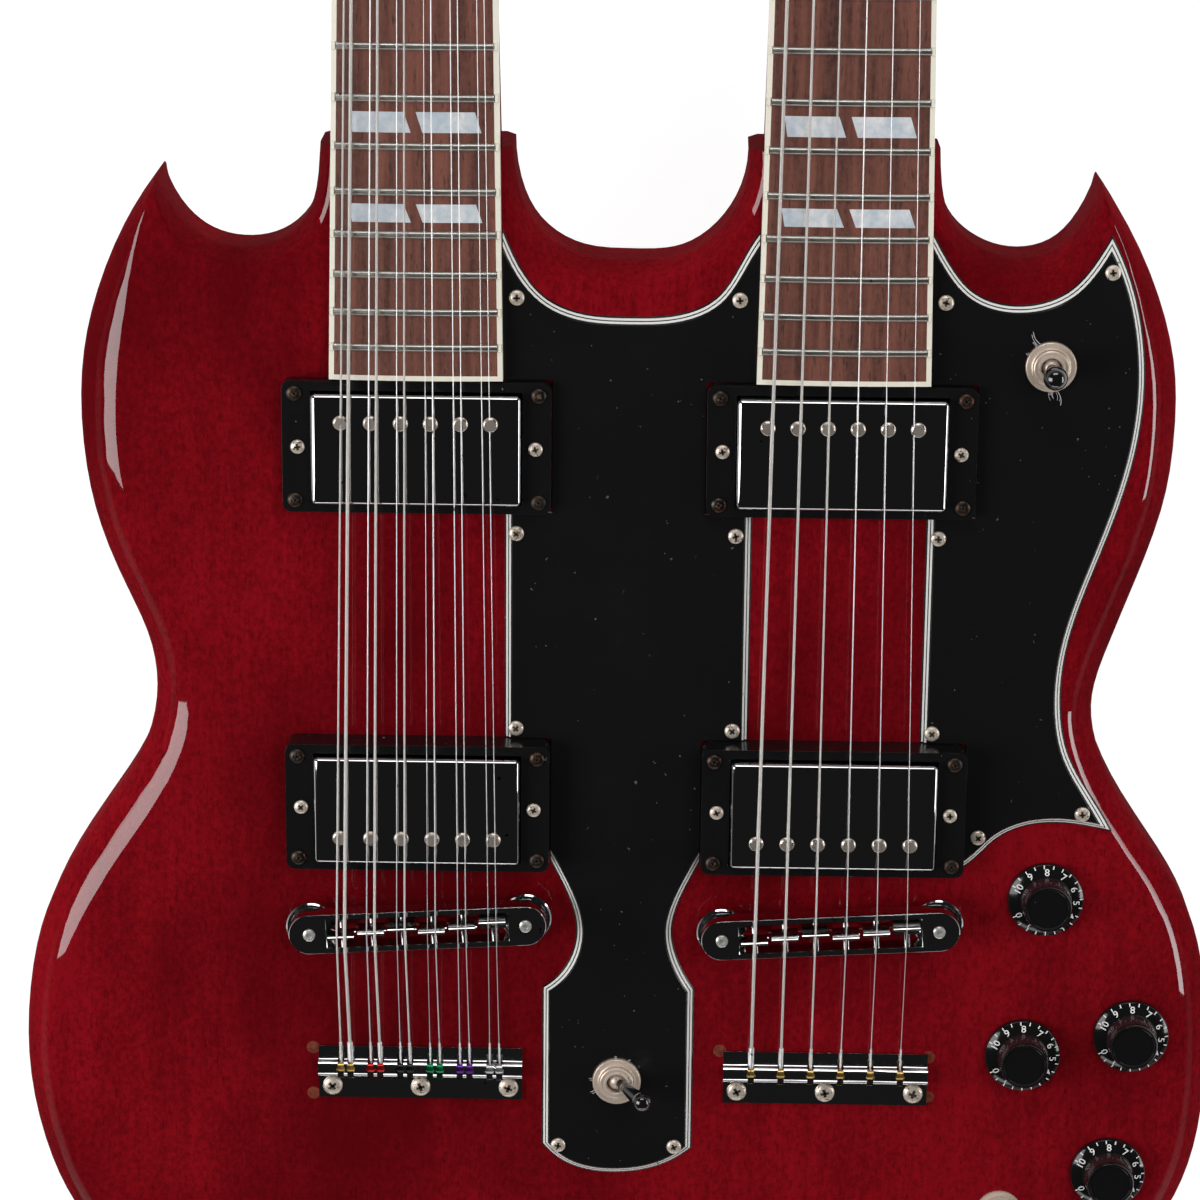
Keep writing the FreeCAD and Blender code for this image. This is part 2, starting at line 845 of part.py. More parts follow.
def neck_shape(name, side):
    length = board_length.value
    end = length + nut_long.value
    placement = neck_placement(side)
    heel_u = (shoulder_y - board_end_y).value / math.cos(tilt)
    wedge = tapered(0.0, heel_u + overrun.value, -board_rise.value, 0.0)
    wedge = placed(wedge, placement)
    floor = Part.makeBox(
        body_width.value, body_length.value, body_thick.value,
        Vector(-body_width.value / 2, 0, 0),
    )
    wedge = wedge.cut(floor)
    heel_side = shaft_deep_heel.value * HEEL_SIDE_SHARE
    sections = [
        shaft_section(heel_u - overrun.value, shaft_deep_heel.value, heel_side),
        shaft_section(heel_u + heel_length.value, shaft_deep_body.value, shaft_side.value),
        shaft_section(end, shaft_deep_nut.value, shaft_side.value),
    ]
    shaft = Part.makeLoft(sections, True, True)
    body_end = Part.makeBox(
        body_width.value * 2, body_length.value, body_thick.value * 3,
        Vector(-body_width.value, shoulder_y.value - body_length.value, -body_thick.value),
    )
    shaft = placed(shaft, placement).cut(body_end)
    head = head_outline(head_size(name)[0].value).extrude(Vector(0, 0, -head_thick.value))
    head = placed(head, head_placement(side))
    neck = tenon_shape(side).fuse([shaft, wedge, head])
    neck = neck.removeSplitter()
    rod = placed(truss_rod(), placement)
    holes = [
        Part.makeCylinder(
            bushing_radius.value, head_thick.value + 2 * overrun.value,
            Vector(x, p, -head_thick.value - overrun.value),
        )
        for _row, x, p in post_places(name)
    ]
    return neck.cut([rod] + [placed(hole, head_placement(side)) for hole in holes])


def truss_rod():
    start = rod_end_gap.value
    run = board_length.value - 2 * start
    centre = Vector(0, start, -rod_depth.value)
    return Part.makeCylinder(rod_radius.value, run, centre, Y_AXIS)


def make_necks():
    for name, side in NECKS.items():
        add_feature(f"neck_{name}", neck_shape(name, side))
    rods = [placed(truss_rod(), neck_placement(side)) for side in NECKS.values()]
    add_feature("truss_rods", Part.makeCompound(rods))
    plates = []
    covers = []
    for name, side in NECKS.items():
        plate = head_outline(head_size(name)[0].value)
        plate = plate.extrude(Vector(0, 0, headplate_thick.value))
        holes = [
            Part.makeCylinder(bushing_radius.value, headplate_thick.value, Vector(x, p, 0))
            for _row, x, p in post_places(name)
        ]
        plates.append(placed(plate.cut(holes), head_placement(side)))
        covers.append(placed(truss_cover(), head_placement(side)))
    add_feature("headplates", Part.makeCompound(plates))
    add_feature("truss_covers", Part.makeCompound(covers))


def truss_cover():
    half = truss_cover_width.value / 2
    long = truss_cover_length.value
    low = headplate_thick.value
    start = nut_long.value / 2
    points = [
        Vector(-half, start, low), Vector(half, start, low),
        Vector(half * 0.5, start + long, low), Vector(-half * 0.5, start + long, low),
    ]
    face = Part.Face(Part.makePolygon(points + points[:1]))
    cover = face.extrude(Vector(0, 0, truss_cover_thick.value))
    hole = screw_shank_radius.value
    holes = [
        Part.makeCylinder(hole, truss_cover_thick.value, Vector(0, start + long * share, low))
        for share in TRUSS_SCREW_SHARES
    ]
    return cover.cut(holes)


TRUSS_SCREW_SHARES = (0.15, 0.85)


# Fingerboards, bindings, frets, inlays and nuts, in each neck's own frame


def crown_cylinder():
    """The cylinder whose top is the fingerboard's rounded face."""
    centre = Vector(0, -overrun.value, board_thick.value - board_radius.value)
    long = board_length.value + 2 * overrun.value
    return Part.makeCylinder(board_radius.value, long, centre, Y_AXIS)


def fret_place(number):
    return board_length.value - scale_length.value * (1 - 2 ** (-number / 12))


def fret_shape(number):
    u = fret_place(number)
    top = board_thick.value
    ends = [Vector(0, u - fret_wide.value / 2, top), Vector(0, u + fret_wide.value / 2, top)]
    arc = Part.Arc(ends[0], Vector(0, u, top + fret_high.value), ends[1]).toShape()
    face = Part.Face(Part.Wire([arc, Part.LineSegment(ends[1], ends[0]).toShape()]))
    reach = math.degrees(math.asin(half_width(u, binding_wide.value) / board_radius.value))
    centre = Vector(0, 0, top - board_radius.value)
    face.rotate(centre, Y_AXIS, -reach)
    return face.revolve(centre, Y_AXIS, 2 * reach)


# Corners of an inlay pair: shares of the board's width at the nut side, then the body side
INLAY_SHARES = [((-0.39, -0.067), (-0.37, -0.024)), ((0.005, 0.356), (0.045, 0.394))]
INLAY_HEIGHT_SHARE = 0.43


def inlay_prisms():
    low = board_thick.value - inlay_thick.value
    prisms = []
    for number in INLAID_FRETS:
        near, far = fret_place(number), fret_place(number - 1)
        middle = (near + far) / 2
        half = (far - near) * INLAY_HEIGHT_SHARE / 2
        wide = 2 * half_width(middle)
        for nut_side, body_side in INLAY_SHARES:
            corners = [
                Vector(nut_side[0] * wide, middle + half, low),
                Vector(nut_side[1] * wide, middle + half, low),
                Vector(body_side[1] * wide, middle - half, low),
                Vector(body_side[0] * wide, middle - half, low),
            ]
            face = Part.Face(Part.makePolygon(corners + corners[:1]))
            prisms.append(face.extrude(Vector(0, 0, inlay_thick.value + overrun.value)))
    return prisms


def string_runs(name):
    """Each string's gauge and its place across the neck at tail, saddle and nut."""
    pairs = name == "12"
    gauges = GAUGES_12 if pairs else GAUGES_6
    for number, gauge in enumerate(gauges):
        course = number // 2 if pairs else number
        mate = (number % 2) - 0.5 if pairs else 0.0
        step = course - 2.5
        yield (
            number,
            course,
            gauge.value / 2,
            step * course_pitch_bridge.value + mate * pair_gap_tail.value,
            step * course_pitch_bridge.value + mate * pair_gap_bridge.value,
            step * course_pitch_nut.value + mate * pair_gap_nut.value,
        )


def crown_drop(x):
    return board_radius.value - math.sqrt(board_radius.value**2 - x * x)


def nut_shape(name):
    half = board_nut_width.value / 2
    start = board_length.value
    long = nut_long.value
    over = nut_string_v.value + nut_over_string.value
    blank = Part.makeBox(2 * half, long, over, Vector(-half, start, 0))
    round_top = Part.makeCylinder(
        board_radius.value, long, Vector(0, start, over - board_radius.value), Y_AXIS
    )
    nut = blank.common(round_top)
    slots = []
    for _number, _course, radius, _tail, _saddle, x in string_runs(name):
        low = nut_string_v.value - crown_drop(x) - nut_slot_ease.value
        wide = radius + nut_slot_ease.value
        slots.append(Part.makeBox(2 * wide, long, over, Vector(x - wide, start, low)))
    return nut.cut(slots)


def make_fingerboards():
    length = board_length.value
    thick = board_thick.value
    edge = binding_wide.value
    crown = crown_cylinder()
    core = tapered(edge, length, 0.0, thick, edge).common(crown)
    whole = tapered(0.0, length, 0.0, thick).common(crown)
    binding = whole.cut(core)
    prisms = inlay_prisms()
    board = core.cut(prisms)
    inlays = [prism.common(crown) for prism in prisms]
    frets = [fret_shape(number) for number in range(1, FRET_COUNT + 1)]
    groups = {"bindings": [], "inlays": [], "frets": [], "nuts": []}
    for name, side in NECKS.items():
        placement = neck_placement(side)
        add_feature(f"fretboard_{name}", placed(board, placement))
        groups["bindings"].append(placed(binding, placement))
        groups["inlays"] += [placed(inlay, placement) for inlay in inlays]
        groups["frets"] += [placed(fret, placement) for fret in frets]
        groups["nuts"].append(placed(nut_shape(name), placement))
    for name, shapes in groups.items():
        add_feature(name, Part.makeCompound(shapes))


# Tuning machines


def housing_shape(row, x, p):
    """A gear housing behind the headstock, with the bore for its key's shaft."""
    deep = housing_deep.value
    back = -head_thick.value
    wide = housing_wide.value
    long = housing_long.value
    box = Part.makeBox(wide, long, deep, Vector(x - wide / 2, p - long / 2, back - deep))
    lower = [e for e in box.Edges if e.CenterOfMass.z < back - deep * 0.9]
    box = box.makeFillet(deep * 0.2, lower)
    axis = Vector(row, 0, 0)
    bore = Part.makeCylinder(
        key_shaft_radius.value + touch_gap.value, wide, key_centre(x, p), axis
    )
    return box.cut(bore)


def key_centre(x, p):
    return Vector(x, p, -head_thick.value - housing_deep.value / 2)


def post_shape(x, p):
    top = headplate_thick.value + post_rise.value
    low = -head_thick.value
    full, waist = post_radius.value, post_waist_radius.value
    middle = headplate_thick.value + wrap_rise.value
    profile = [
        (0, low), (full, low), (full, middle - full), (waist, middle - waist),
        (waist, middle + waist), (full, middle + full), (full, top), (0, top),
    ]
    return turned(profile, x, p)


def bushing_shape(x, p):
    low = -head_thick.value
    top = headplate_thick.value
    rise = top + flange_thick.value
    inner = post_radius.value + touch_gap.value
    outer, flange = bushing_radius.value, flange_radius.value
    profile = [(inner, low), (outer, low), (outer, top), (flange, top), (flange, rise), (inner, rise)]
    return turned(profile, x, p)


def key_shape(row, x, p):
    """A key: the shaft that enters its housing, and the button outside the headstock."""
    axis = Vector(row, 0, 0)
    centre = key_centre(x, p)
    edge = head_width.value / 2 - abs(x)
    run = edge + key_reach.value
    shaft = Part.makeCylinder(key_shaft_radius.value, run, centre, axis)
    middle = centre + axis * (run + button_radius.value)
    half = button_thick.value / 2
    button = Part.makeCylinder(
        button_radius.value, 2 * half, middle - Vector(0, 0, half), Z_AXIS
    )
    button = button.makeFillet(half * 0.6, [e for e in button.Edges if len(e.Vertexes) == 1])
    socket = Part.makeCylinder(key_shaft_radius.value * 1.6, button_radius.value, centre + axis * run, axis)
    button = button.fuse(socket).removeSplitter()
    return [shaft, button.cut(shaft)]


def make_tuners():
    housings, posts, bushings = [], [], []
    for name, side in NECKS.items():
        placement = head_placement(side)
        for number, (row, x, p) in enumerate(post_places(name)):
            housings.append(placed(housing_shape(row, x, p), placement))
            posts.append(placed(post_shape(x, p), placement))
            bushings.append(placed(bushing_shape(x, p), placement))
            key = Part.makeCompound([placed(s, placement) for s in key_shape(row, x, p)])
            add_feature(f"tuner_key_{name}_{number + 1:02d}", key)
    add_feature("tuner_housings", Part.makeCompound(housings))
    add_feature("tuner_posts", Part.makeCompound(posts))
    add_feature("tuner_bushings", Part.makeCompound(bushings))


# Pickups: rings, covers, cores, pole screws and their mounting screws


def make_rings():
    rings = []
    for number, (x, y, tall, _pitch, _turn) in enumerate(pickup_places()):
        body = doc.addObject("PartDesign::Body", f"ring_{number}")
        outer = rectangle(-1 * ring_long / 2, ring_long / 2, -1 * ring_wide / 2, ring_wide / 2)
        add_pad(body, f"ring_{number}_pad", add_sketch(body, f"ring_{number}_outer", "XY_Plane", outer), tall)
        half_long = cover_long / 2 + cover_clearance
        half_wide = cover_wide / 2 + cover_clearance
        window = rectangle(-1 * half_long, half_long, -1 * half_wide, half_wide)
        sketch = add_sketch(body, f"ring_{number}_window", "XY_Plane", window)
        pocket = body.newObject("PartDesign::Pocket", f"ring_{number}_pocket")
        pocket.Profile = sketch
        pocket.Reversed = True
        bind(pocket, Length=tall)
        doc.recompute()
        corners = [
            f"Edge{index + 1}"
            for index, edge in enumerate(pocket.Shape.Edges)
            if abs(edge.tangentAt(edge.FirstParameter).z) > 0.9
            and abs(edge.CenterOfMass.x) > cover_long.value / 2 + 2 * cover_clearance.value
        ]
        fillet = body.newObject("PartDesign::Fillet", f"ring_{number}_corners")
        fillet.Base = (pocket, corners)
        bind(fillet, Radius=ring_corner)
        place(body, x, y, body_thick)
        rings.append(body)
    holes = []
    for number, (x, y, _z) in enumerate(ring_screw_places(ring_screw_along, ring_screw_across)):
        holes.append(
            add_cylinder(f"ring_bore_{number}", x, y, body_thick - overrun, screw_shank_radius,
                         ring_high + overrun * 2)
        )
    for number, (x, y, _tall) in enumerate(height_screw_places()):
        holes.append(
            add_cylinder(f"height_bore_{number}", x, y, body_thick - overrun,
                         height_shank_radius, ring_high + overrun * 2)
        )
    cut = add_cut("pickup_rings", add_compound("ring_blanks", rings), add_compound("ring_bores", holes))
    return cut


def string_height(y):
    """Height of the strings' line over the back at a place along the body."""
    nut_y = board_end_y.value + board_length.value * math.cos(tilt)
    nut_z = (
        board_floor_z.value
        + nut_string_v.value * math.cos(tilt)
        - board_length.value * math.sin(tilt)
    )
    return saddle_top_z.value + (nut_z - saddle_top_z.value) * y / nut_y


def pole_places(x, y, pitch, turn):
    return [(x + (k - 2.5) * pitch, y + turn * pole_offset.value) for k in range(6)]


def make_pickups():
    covers, cores, poles, heights = [], [], [], []
    for x, y, tall, pitch, turn in pickup_places():
        x, y, pitch = x.value, y.value, pitch.value
        top = string_height(y) - string_over_cover.value
        long, wide, high = cover_long.value, cover_wide.value, cover_tall.value
        low = top - high
        shell = Part.makeBox(long, wide, high, Vector(x - long / 2, y - wide / 2, low))
        rounded = [e for e in shell.Edges if e.CenterOfMass.z > low + high * 0.25]
        shell = shell.makeFillet(cover_edge.value, rounded)
        wall = cover_wall.value
        inner_long, inner_wide = long - 2 * wall, wide - 2 * wall
        corner = Vector(x - inner_long / 2, y - inner_wide / 2, low)
        shell = shell.cut(Part.makeBox(inner_long, inner_wide, high - wall, corner))
        pins = [
            Part.makeCylinder(pole_radius.value, high, Vector(px, py, low + wall))
            for px, py in pole_places(x, y, pitch, turn)
        ]
        covers.append(shell.cut(pins))
        slack = touch_gap.value
        block = Part.makeBox(
            inner_long - 2 * slack, inner_wide - 2 * slack, high - wall - slack,
            corner + Vector(slack, slack, 0),
        )
        plate = Part.makeBox(long, wide, base_thick.value,
                             Vector(x - long / 2, y - wide / 2, low - base_thick.value))
        leg_wide = screw_head_radius.value * 3
        leg_long = ring_long.value - 2 * screw_head_radius.value - 4 * touch_gap.value
        leg = Part.makeBox(leg_long, leg_wide, base_thick.value,
                           Vector(x - leg_long / 2, y - leg_wide / 2, low - base_thick.value))
        sunk = low - base_thick.value < body_thick.value
        core = block.fuse([plate, leg] if sunk else [plate]).removeSplitter()
        cores.append(core.cut(pins))
        for px, py in pole_places(x, y, pitch, turn):
            poles.append(pole_shape(px, py, top))
        for step in (-1, 1):
            spot = x + step * (ring_long.value / 2 - screw_head_radius.value * 2)
            head_z = body_thick.value + tall.value
            reach = tall.value if not sunk else head_z - low
            heights.append(
                screw_shape(spot, y, head_z, height_head_radius.value,
                            height_shank_radius.value, reach)
            )
    add_feature("pickup_covers", Part.makeCompound(covers))
    add_feature("pickup_cores", Part.makeCompound(cores))
    add_feature("pole_screws", Part.makeCompound(poles))
    add_feature("height_screws", Part.makeCompound(heights))


def pole_shape(x, y, top):
    radius = pole_radius.value
    dome = pole_dome.value
    profile = [(0, -pole_deep.value), (radius, -pole_deep.value), (radius, 0),
               (radius * 0.6, dome), (0, dome)]
    pole = turned(profile, x, y, top)
    half = pole_slot.value / 2
    slot = Part.makeBox(2 * radius, 2 * half, 2 * dome, Vector(x - radius, y - half, top - dome))
    return pole.cut(slot)


def screw_shape(x, y, z, head, shank, deep):
    """A round-headed screw whose head seats at z."""
    tall = screw_head_tall.value
    profile = [(0, -deep), (shank, -deep), (shank, 0), (head, 0), (head, tall * 0.45),
               (head * 0.6, tall), (0, tall)]
    return turned(profile, x, y, z)


def make_ring_screws():
    shapes = []
    for x, y, z in ring_screw_places(ring_screw_along, ring_screw_across):
        deep = screw_shank_long.value + z.value - body_thick.value
        shapes.append(
            screw_shape(x.value, y.value, z.value, screw_head_radius.value,
                        screw_shank_radius.value, deep)
        )
    add_feature("ring_screws", Part.makeCompound(shapes))


# Guards


def guard_from(corners, name, holes):
    """A guard plate from stretches of points, bevelled only where its share is 1."""
    stretches = [points for points, _share in corners]
    shares = [[share] * len(points) for points, share in corners]
    layers = [(body_thick.value, 0.0), (guard_z.value, guard_bevel.value)]
    return add_feature(name, bevelled_plate(stretches, shares, layers).cut(holes))


def guard_edges():
    """Where the guards stop beside the boards and the rings, from the named sizes."""
    gap = guard_clearance.value
    neck_x = neck_spacing.value / 2
    reach = (guard_top_y.value - board_end_y.value) / math.cos(tilt)
    return {
        "board_low": neck_x - half_width(0.0) - gap,
        "board_high": neck_x - half_width(reach) - gap,
        "ring": neck_x - ring_long.value / 2 - gap,
        "far_board_low": neck_x + half_width(0.0) + gap,
        "far_board_high": neck_x + half_width(reach) + gap,
        "far_ring": neck_x + ring_long.value / 2 + gap,
        "ring_top": neck_pickup_y.value + ring_wide.value / 2 + gap,
        "ring_low": neck_pickup_y.value - ring_wide.value / 2 - gap,
        "low_ring_top": bridge_pickup_y.value + ring_wide.value / 2 + gap,
        "low_ring_low": bridge_pickup_y.value - ring_wide.value / 2 - gap,
    }


def guard_holes():
    low = body_thick.value
    thick = guard_thick.value
    holes = []
    for x, y in guard_screw_places():
        holes.append(Part.makeCylinder(screw_shank_radius.value, thick, Vector(x.value, y.value, low)))
    for _name, x, y, _wide, _long in switch_places():
        holes.append(Part.makeCylinder(collar_radius.value, thick, Vector(x.value, y.value, low)))
    return holes


def make_guards():
    edge = guard_edges()
    top = guard_top_y.value

    def at(x, y):
        return Vector(x, y, 0)

    right = [
        at(edge["board_high"], top), at(edge["board_low"], edge["ring_top"]),
        at(edge["ring"], edge["ring_top"]), at(edge["ring"], edge["ring_low"]),
        at(edge["board_low"], edge["ring_low"]), at(edge["board_low"], edge["low_ring_top"]),
        at(edge["ring"], edge["low_ring_top"]), at(edge["ring"], edge["low_ring_low"]),
    ]
    left = [at(-p.x, p.y) for p in reversed(right)]
    waist = [at(edge["ring"] * x, body_length.value * y) for x, y in GUARD_WAIST_SHARES]
    foot = to_points(GUARD_FOOT_SHARES)
    low = edge["ring_top"] - top
    crown = [at(edge["board_high"] * x, top + low * y) for x, y in GUARD_TOP_SHARES]
    mirrored_waist = [at(-p.x, p.y) for p in reversed(waist)]
    # Clockwise stretches are turned round below, so that the inside lies on the left
    stretches = [([left[-1]] + crown + [right[0]], 1)]
    for first, second in zip(right, right[1:]):
        share = 1 if first.x == second.x == edge["board_low"] else 0
        stretches.append(([first, second], share))
    stretches.append(([right[-1]] + waist + [foot[0]], 1))
    stretches.append((foot[0:2], 1))
    stretches.append((foot[1:6], 1))
    stretches.append((foot[5:7], 1))
    stretches.append(([foot[6]] + mirrored_waist + [left[0]], 1))
    for first, second in zip(left, left[1:]):
        share = 1 if first.x == second.x == -edge["board_low"] else 0
        stretches.append(([first, second], share))
    turned_round = [(points[::-1], share) for points, share in reversed(stretches)]
    guard_from(turned_round, "pickguard_center", guard_holes())

    inner = [
        at(edge["far_ring"], edge["low_ring_low"]), at(edge["far_ring"], edge["low_ring_top"]),
        at(edge["far_board_low"], edge["low_ring_top"]), at(edge["far_board_low"], edge["ring_low"]),
        at(edge["far_ring"], edge["ring_low"]), at(edge["far_ring"], edge["ring_top"]),
        at(edge["far_board_low"], edge["ring_top"]), at(edge["far_board_high"], top),
    ]
    stretches = []
    for first, second in zip(inner, inner[1:]):
        share = 1 if first.x == second.x == edge["far_board_low"] else 0
        stretches.append(([first, second], share))
    outer = to_points(TREBLE_GUARD_OUTER_SHARES)
    across, out = outer[0].x - inner[-1].x, outer[-1].x - inner[0].x
    crown = [at(inner[-1].x + across * x, top + low * y) for x, y in TREBLE_GUARD_TOP_SHARES]
    foot = [
        at(inner[0].x + out * x, inner[0].y + body_length.value * y)
        for x, y in TREBLE_GUARD_FOOT_SHARES
    ]
    stretches.append(([inner[-1]] + crown + [outer[0]], 1))
    stretches.append((outer, 1))
    stretches.append(([outer[-1]] + foot + [inner[0]], 1))
    turned_round = [(points[::-1], share) for points, share in reversed(stretches)]
    guard_from(turned_round, "pickguard_treble", guard_holes())


def rear_screw_places():
    """Cover screws just inside the rear cover's corners."""
    spots = control_corners(cavity_margin + cover_lip * 0.5)
    return [spots[index] for index in (0, 1, 2, 4, 5, 6)]


def make_small_screws():
    head, shank = screw_head_radius.value, screw_shank_radius.value
    deep = screw_shank_long.value
    shapes = []
    for x, y in guard_screw_places():
        shapes.append(
            screw_shape(x.value, y.value, guard_z.value, head, shank, deep + guard_thick.value)
        )
    for x, y in rear_screw_places():
        screw = screw_shape(0, 0, 0, head, shank, deep)
        screw.rotate(Vector(), X_AXIS, 180)
        screw.translate(Vector(x.value, y.value, 0))
        shapes.append(screw)
    seat = headplate_thick.value + truss_cover_thick.value
    for side in NECKS.values():
        for share in TRUSS_SCREW_SHARES:
            along = nut_long.value / 2 + truss_cover_length.value * share
            screw = screw_shape(0, along, seat, head * 0.7, shank, truss_cover_thick.value)
            shapes.append(placed(screw, head_placement(side)))
    add_feature("small_screws", Part.makeCompound(shapes))


# Bridges, tailpieces and strings


def bridge_placement(side):
    base = Vector(
        side * neck_spacing.value / 2, -bridge_back.value, body_thick.value + bridge_lift.value
    )
    return FreeCAD.Placement(base, FreeCAD.Rotation(Z_AXIS, bridge_angle.value))


def make_bridges():
    bases = []
    for name, side in NECKS.items():
        body = doc.addObject("PartDesign::Body", f"bridge_{name}")
        half = bridge_long / 2
        wide = bridge_wide / 2
        ear = post_spacing / 2 - stud_head_radius
        ear_wide = wide - bridge_wall
        outline = [
            (-1 * half, -1 * ear_wide), (-1 * ear, -1 * wide), (ear, -1 * wide),
            (half, -1 * ear_wide), (half, ear_wide), (ear, wide), (-1 * ear, wide),
            (-1 * half, ear_wide),
        ]
        sketch = add_sketch(body, f"bridge_{name}_outline", "XY_Plane", outline)
        add_pad(body, f"bridge_{name}_pad", sketch, bridge_tall)
        channel = rectangle(
            -1 * (ear - bridge_wall), ear - bridge_wall, bridge_wall - wide, wide - bridge_wall
        )
        sketch = add_sketch(body, f"bridge_{name}_channel", "XY_Plane", channel)
        bind(sketch, AttachmentOffset__Base__z=bridge_floor)
        pocket = body.newObject("PartDesign::Pocket", f"bridge_{name}_pocket")
        pocket.Profile = sketch
        pocket.Reversed = True
        bind(pocket, Length=bridge_tall)
        body.Placement = bridge_placement(side)
        place(body, side * neck_spacing / 2, -1 * bridge_back, body_thick + bridge_lift)
        bases.append(body)
    holes = [
        add_cylinder(f"stud_hole_{number}", x, y, body_thick, stud_radius, saddle_rise)
        for number, (x, y) in enumerate(bridge_post_places())
    ]
    screws = [add_feature("saddle_screw_holes", Part.makeCompound(saddle_screws(0.0)))]
    add_cut("bridge_bases", add_compound("bridge_blanks", bases), add_compound("bridge_bores", holes + screws))
    posts = [stud_shape(x.value, y.value) for x, y in bridge_post_places()]
    add_feature("bridge_posts", Part.makeCompound(posts))
    add_feature("saddles", Part.makeCompound(saddle_shapes() + saddle_screws(-touch_gap.value)))


def stud_shape(x, y):
    """A bridge stud: threaded shank, thumbwheel under the bridge and slotted head on top."""
    low = -stud_deep.value
    under = bridge_lift.value
    top = under + bridge_tall.value
    shank, head = stud_radius.value, stud_head_radius.value
    wheel = wheel_radius.value
    rim = wheel_thick.value * 0.25
    start = under - wheel_thick.value
    profile = [
        (0, low), (shank, low), (shank, start), (wheel - rim, start), (wheel, start + rim),
        (wheel, under - rim), (wheel - rim, under), (shank, under), (shank, top), (head, top),
        (head, top + stud_head_tall.value), (0, top + stud_head_tall.value),
    ]
    stud = turned(profile, x, y, body_thick.value)
    half = pole_slot.value
    slot = Part.makeBox(
        2 * head, 2 * half, stud_head_tall.value,
        Vector(x - head, y - half, body_thick.value + top + stud_head_tall.value / 2),
    )
    return stud.cut(slot)


def saddle_travel():
    return (bridge_wide / 2 - bridge_wall - saddle_long / 2).value - touch_gap.value


def saddle_spots(name, side):
    """Course centre, saddle height and set-back in the bridge's own frame."""
    lean = math.radians(bridge_angle.value)
    for course in range(6):
        across = (course - 2.5) * course_pitch_bridge.value / math.cos(lean)
        reach = 0.0
        if name == "12":
            reach = pair_gap_bridge.value / 2
        drop = crown_drop(abs((course - 2.5) * course_pitch_bridge.value) + reach)
        crest = saddle_rise.value - bridge_lift.value - drop - touch_gap.value
        yield across, SADDLE_SHARES[course] * saddle_travel(), crest


def saddle_shapes():
    shapes = []
    for name, side in NECKS.items():
        for across, back, crest in saddle_spots(name, side):
            half, long = saddle_wide.value / 2, saddle_long.value / 2
            low, peak = bridge_floor.value, saddle_crest.value / 2
            waist = bridge_tall.value * 0.8
            profile = [
                Vector(0, back - long, low), Vector(0, back + long, low),
                Vector(0, back + long, waist), Vector(0, back + peak, crest),
                Vector(0, back - peak, crest), Vector(0, back - long, waist),
            ]
            face = Part.Face(Part.makePolygon(profile + profile[:1]))
            saddle = face.extrude(Vector(2 * half, 0, 0))
            saddle.translate(Vector(across - half, 0, 0))
            hole = saddle_screw(across, 0.0)
            shapes.append(placed(saddle.cut(hole), bridge_placement(side)))
    return shapes


def saddle_screw(across, slack):
    half = bridge_wide.value / 2
    height = bridge_floor.value + saddle_screw_radius.value * 1.6
    start = Vector(across, -half, height)
    screw = Part.makeCylinder(saddle_screw_radius.value + slack, 2 * half, start, Y_AXIS)
    head = Part.makeCylinder(
        saddle_screw_radius.value * 1.5, bridge_wall.value / 2,
        start - Vector(0, bridge_wall.value / 2, 0), Y_AXIS,
    )
    return screw.fuse(head).removeSplitter()


def saddle_screws(slack):
    screws = []
    for name, side in NECKS.items():
        for across, _back, _crest in saddle_spots(name, side):
            screws.append(placed(saddle_screw(across, slack), bridge_placement(side)))
    return screws


def tail_profile():
    """The tailpiece's section along Y: screw foot, hollow roll and front lip."""
    outer, bore, thick = roll_radius.value, roll_bore.value, tail_thick.value
    foot, lip = tail_foot.value, tail_lip.value
    lift = math.sqrt(max(outer * outer - thick * thick, 0.0))
    edges = [
        Part.LineSegment(Vector(0, -foot, 0), Vector(0, -foot, thick)),
        Part.LineSegment(Vector(0, -foot, thick), Vector(0, -lift, thick)),
        Part.Arc(Vector(0, -lift, thick), Vector(0, 0, outer + thick), Vector(0, lift, thick)),
        Part.LineSegment(Vector(0, lift, thick), Vector(0, lip, thick)),
        Part.LineSegment(Vector(0, lip, thick), Vector(0, lip, 0)),
        Part.LineSegment(Vector(0, lip, 0), Vector(0, bore, 0)),
        Part.LineSegment(Vector(0, bore, 0), Vector(0, bore, thick)),
        Part.Arc(Vector(0, bore, thick), Vector(0, 0, bore + thick), Vector(0, -bore, thick)),
        Part.LineSegment(Vector(0, -bore, thick), Vector(0, -bore, 0)),
        Part.LineSegment(Vector(0, -bore, 0), Vector(0, -foot, 0)),
    ]
    return Part.Face(Part.Wire([edge.toShape() for edge in edges]))


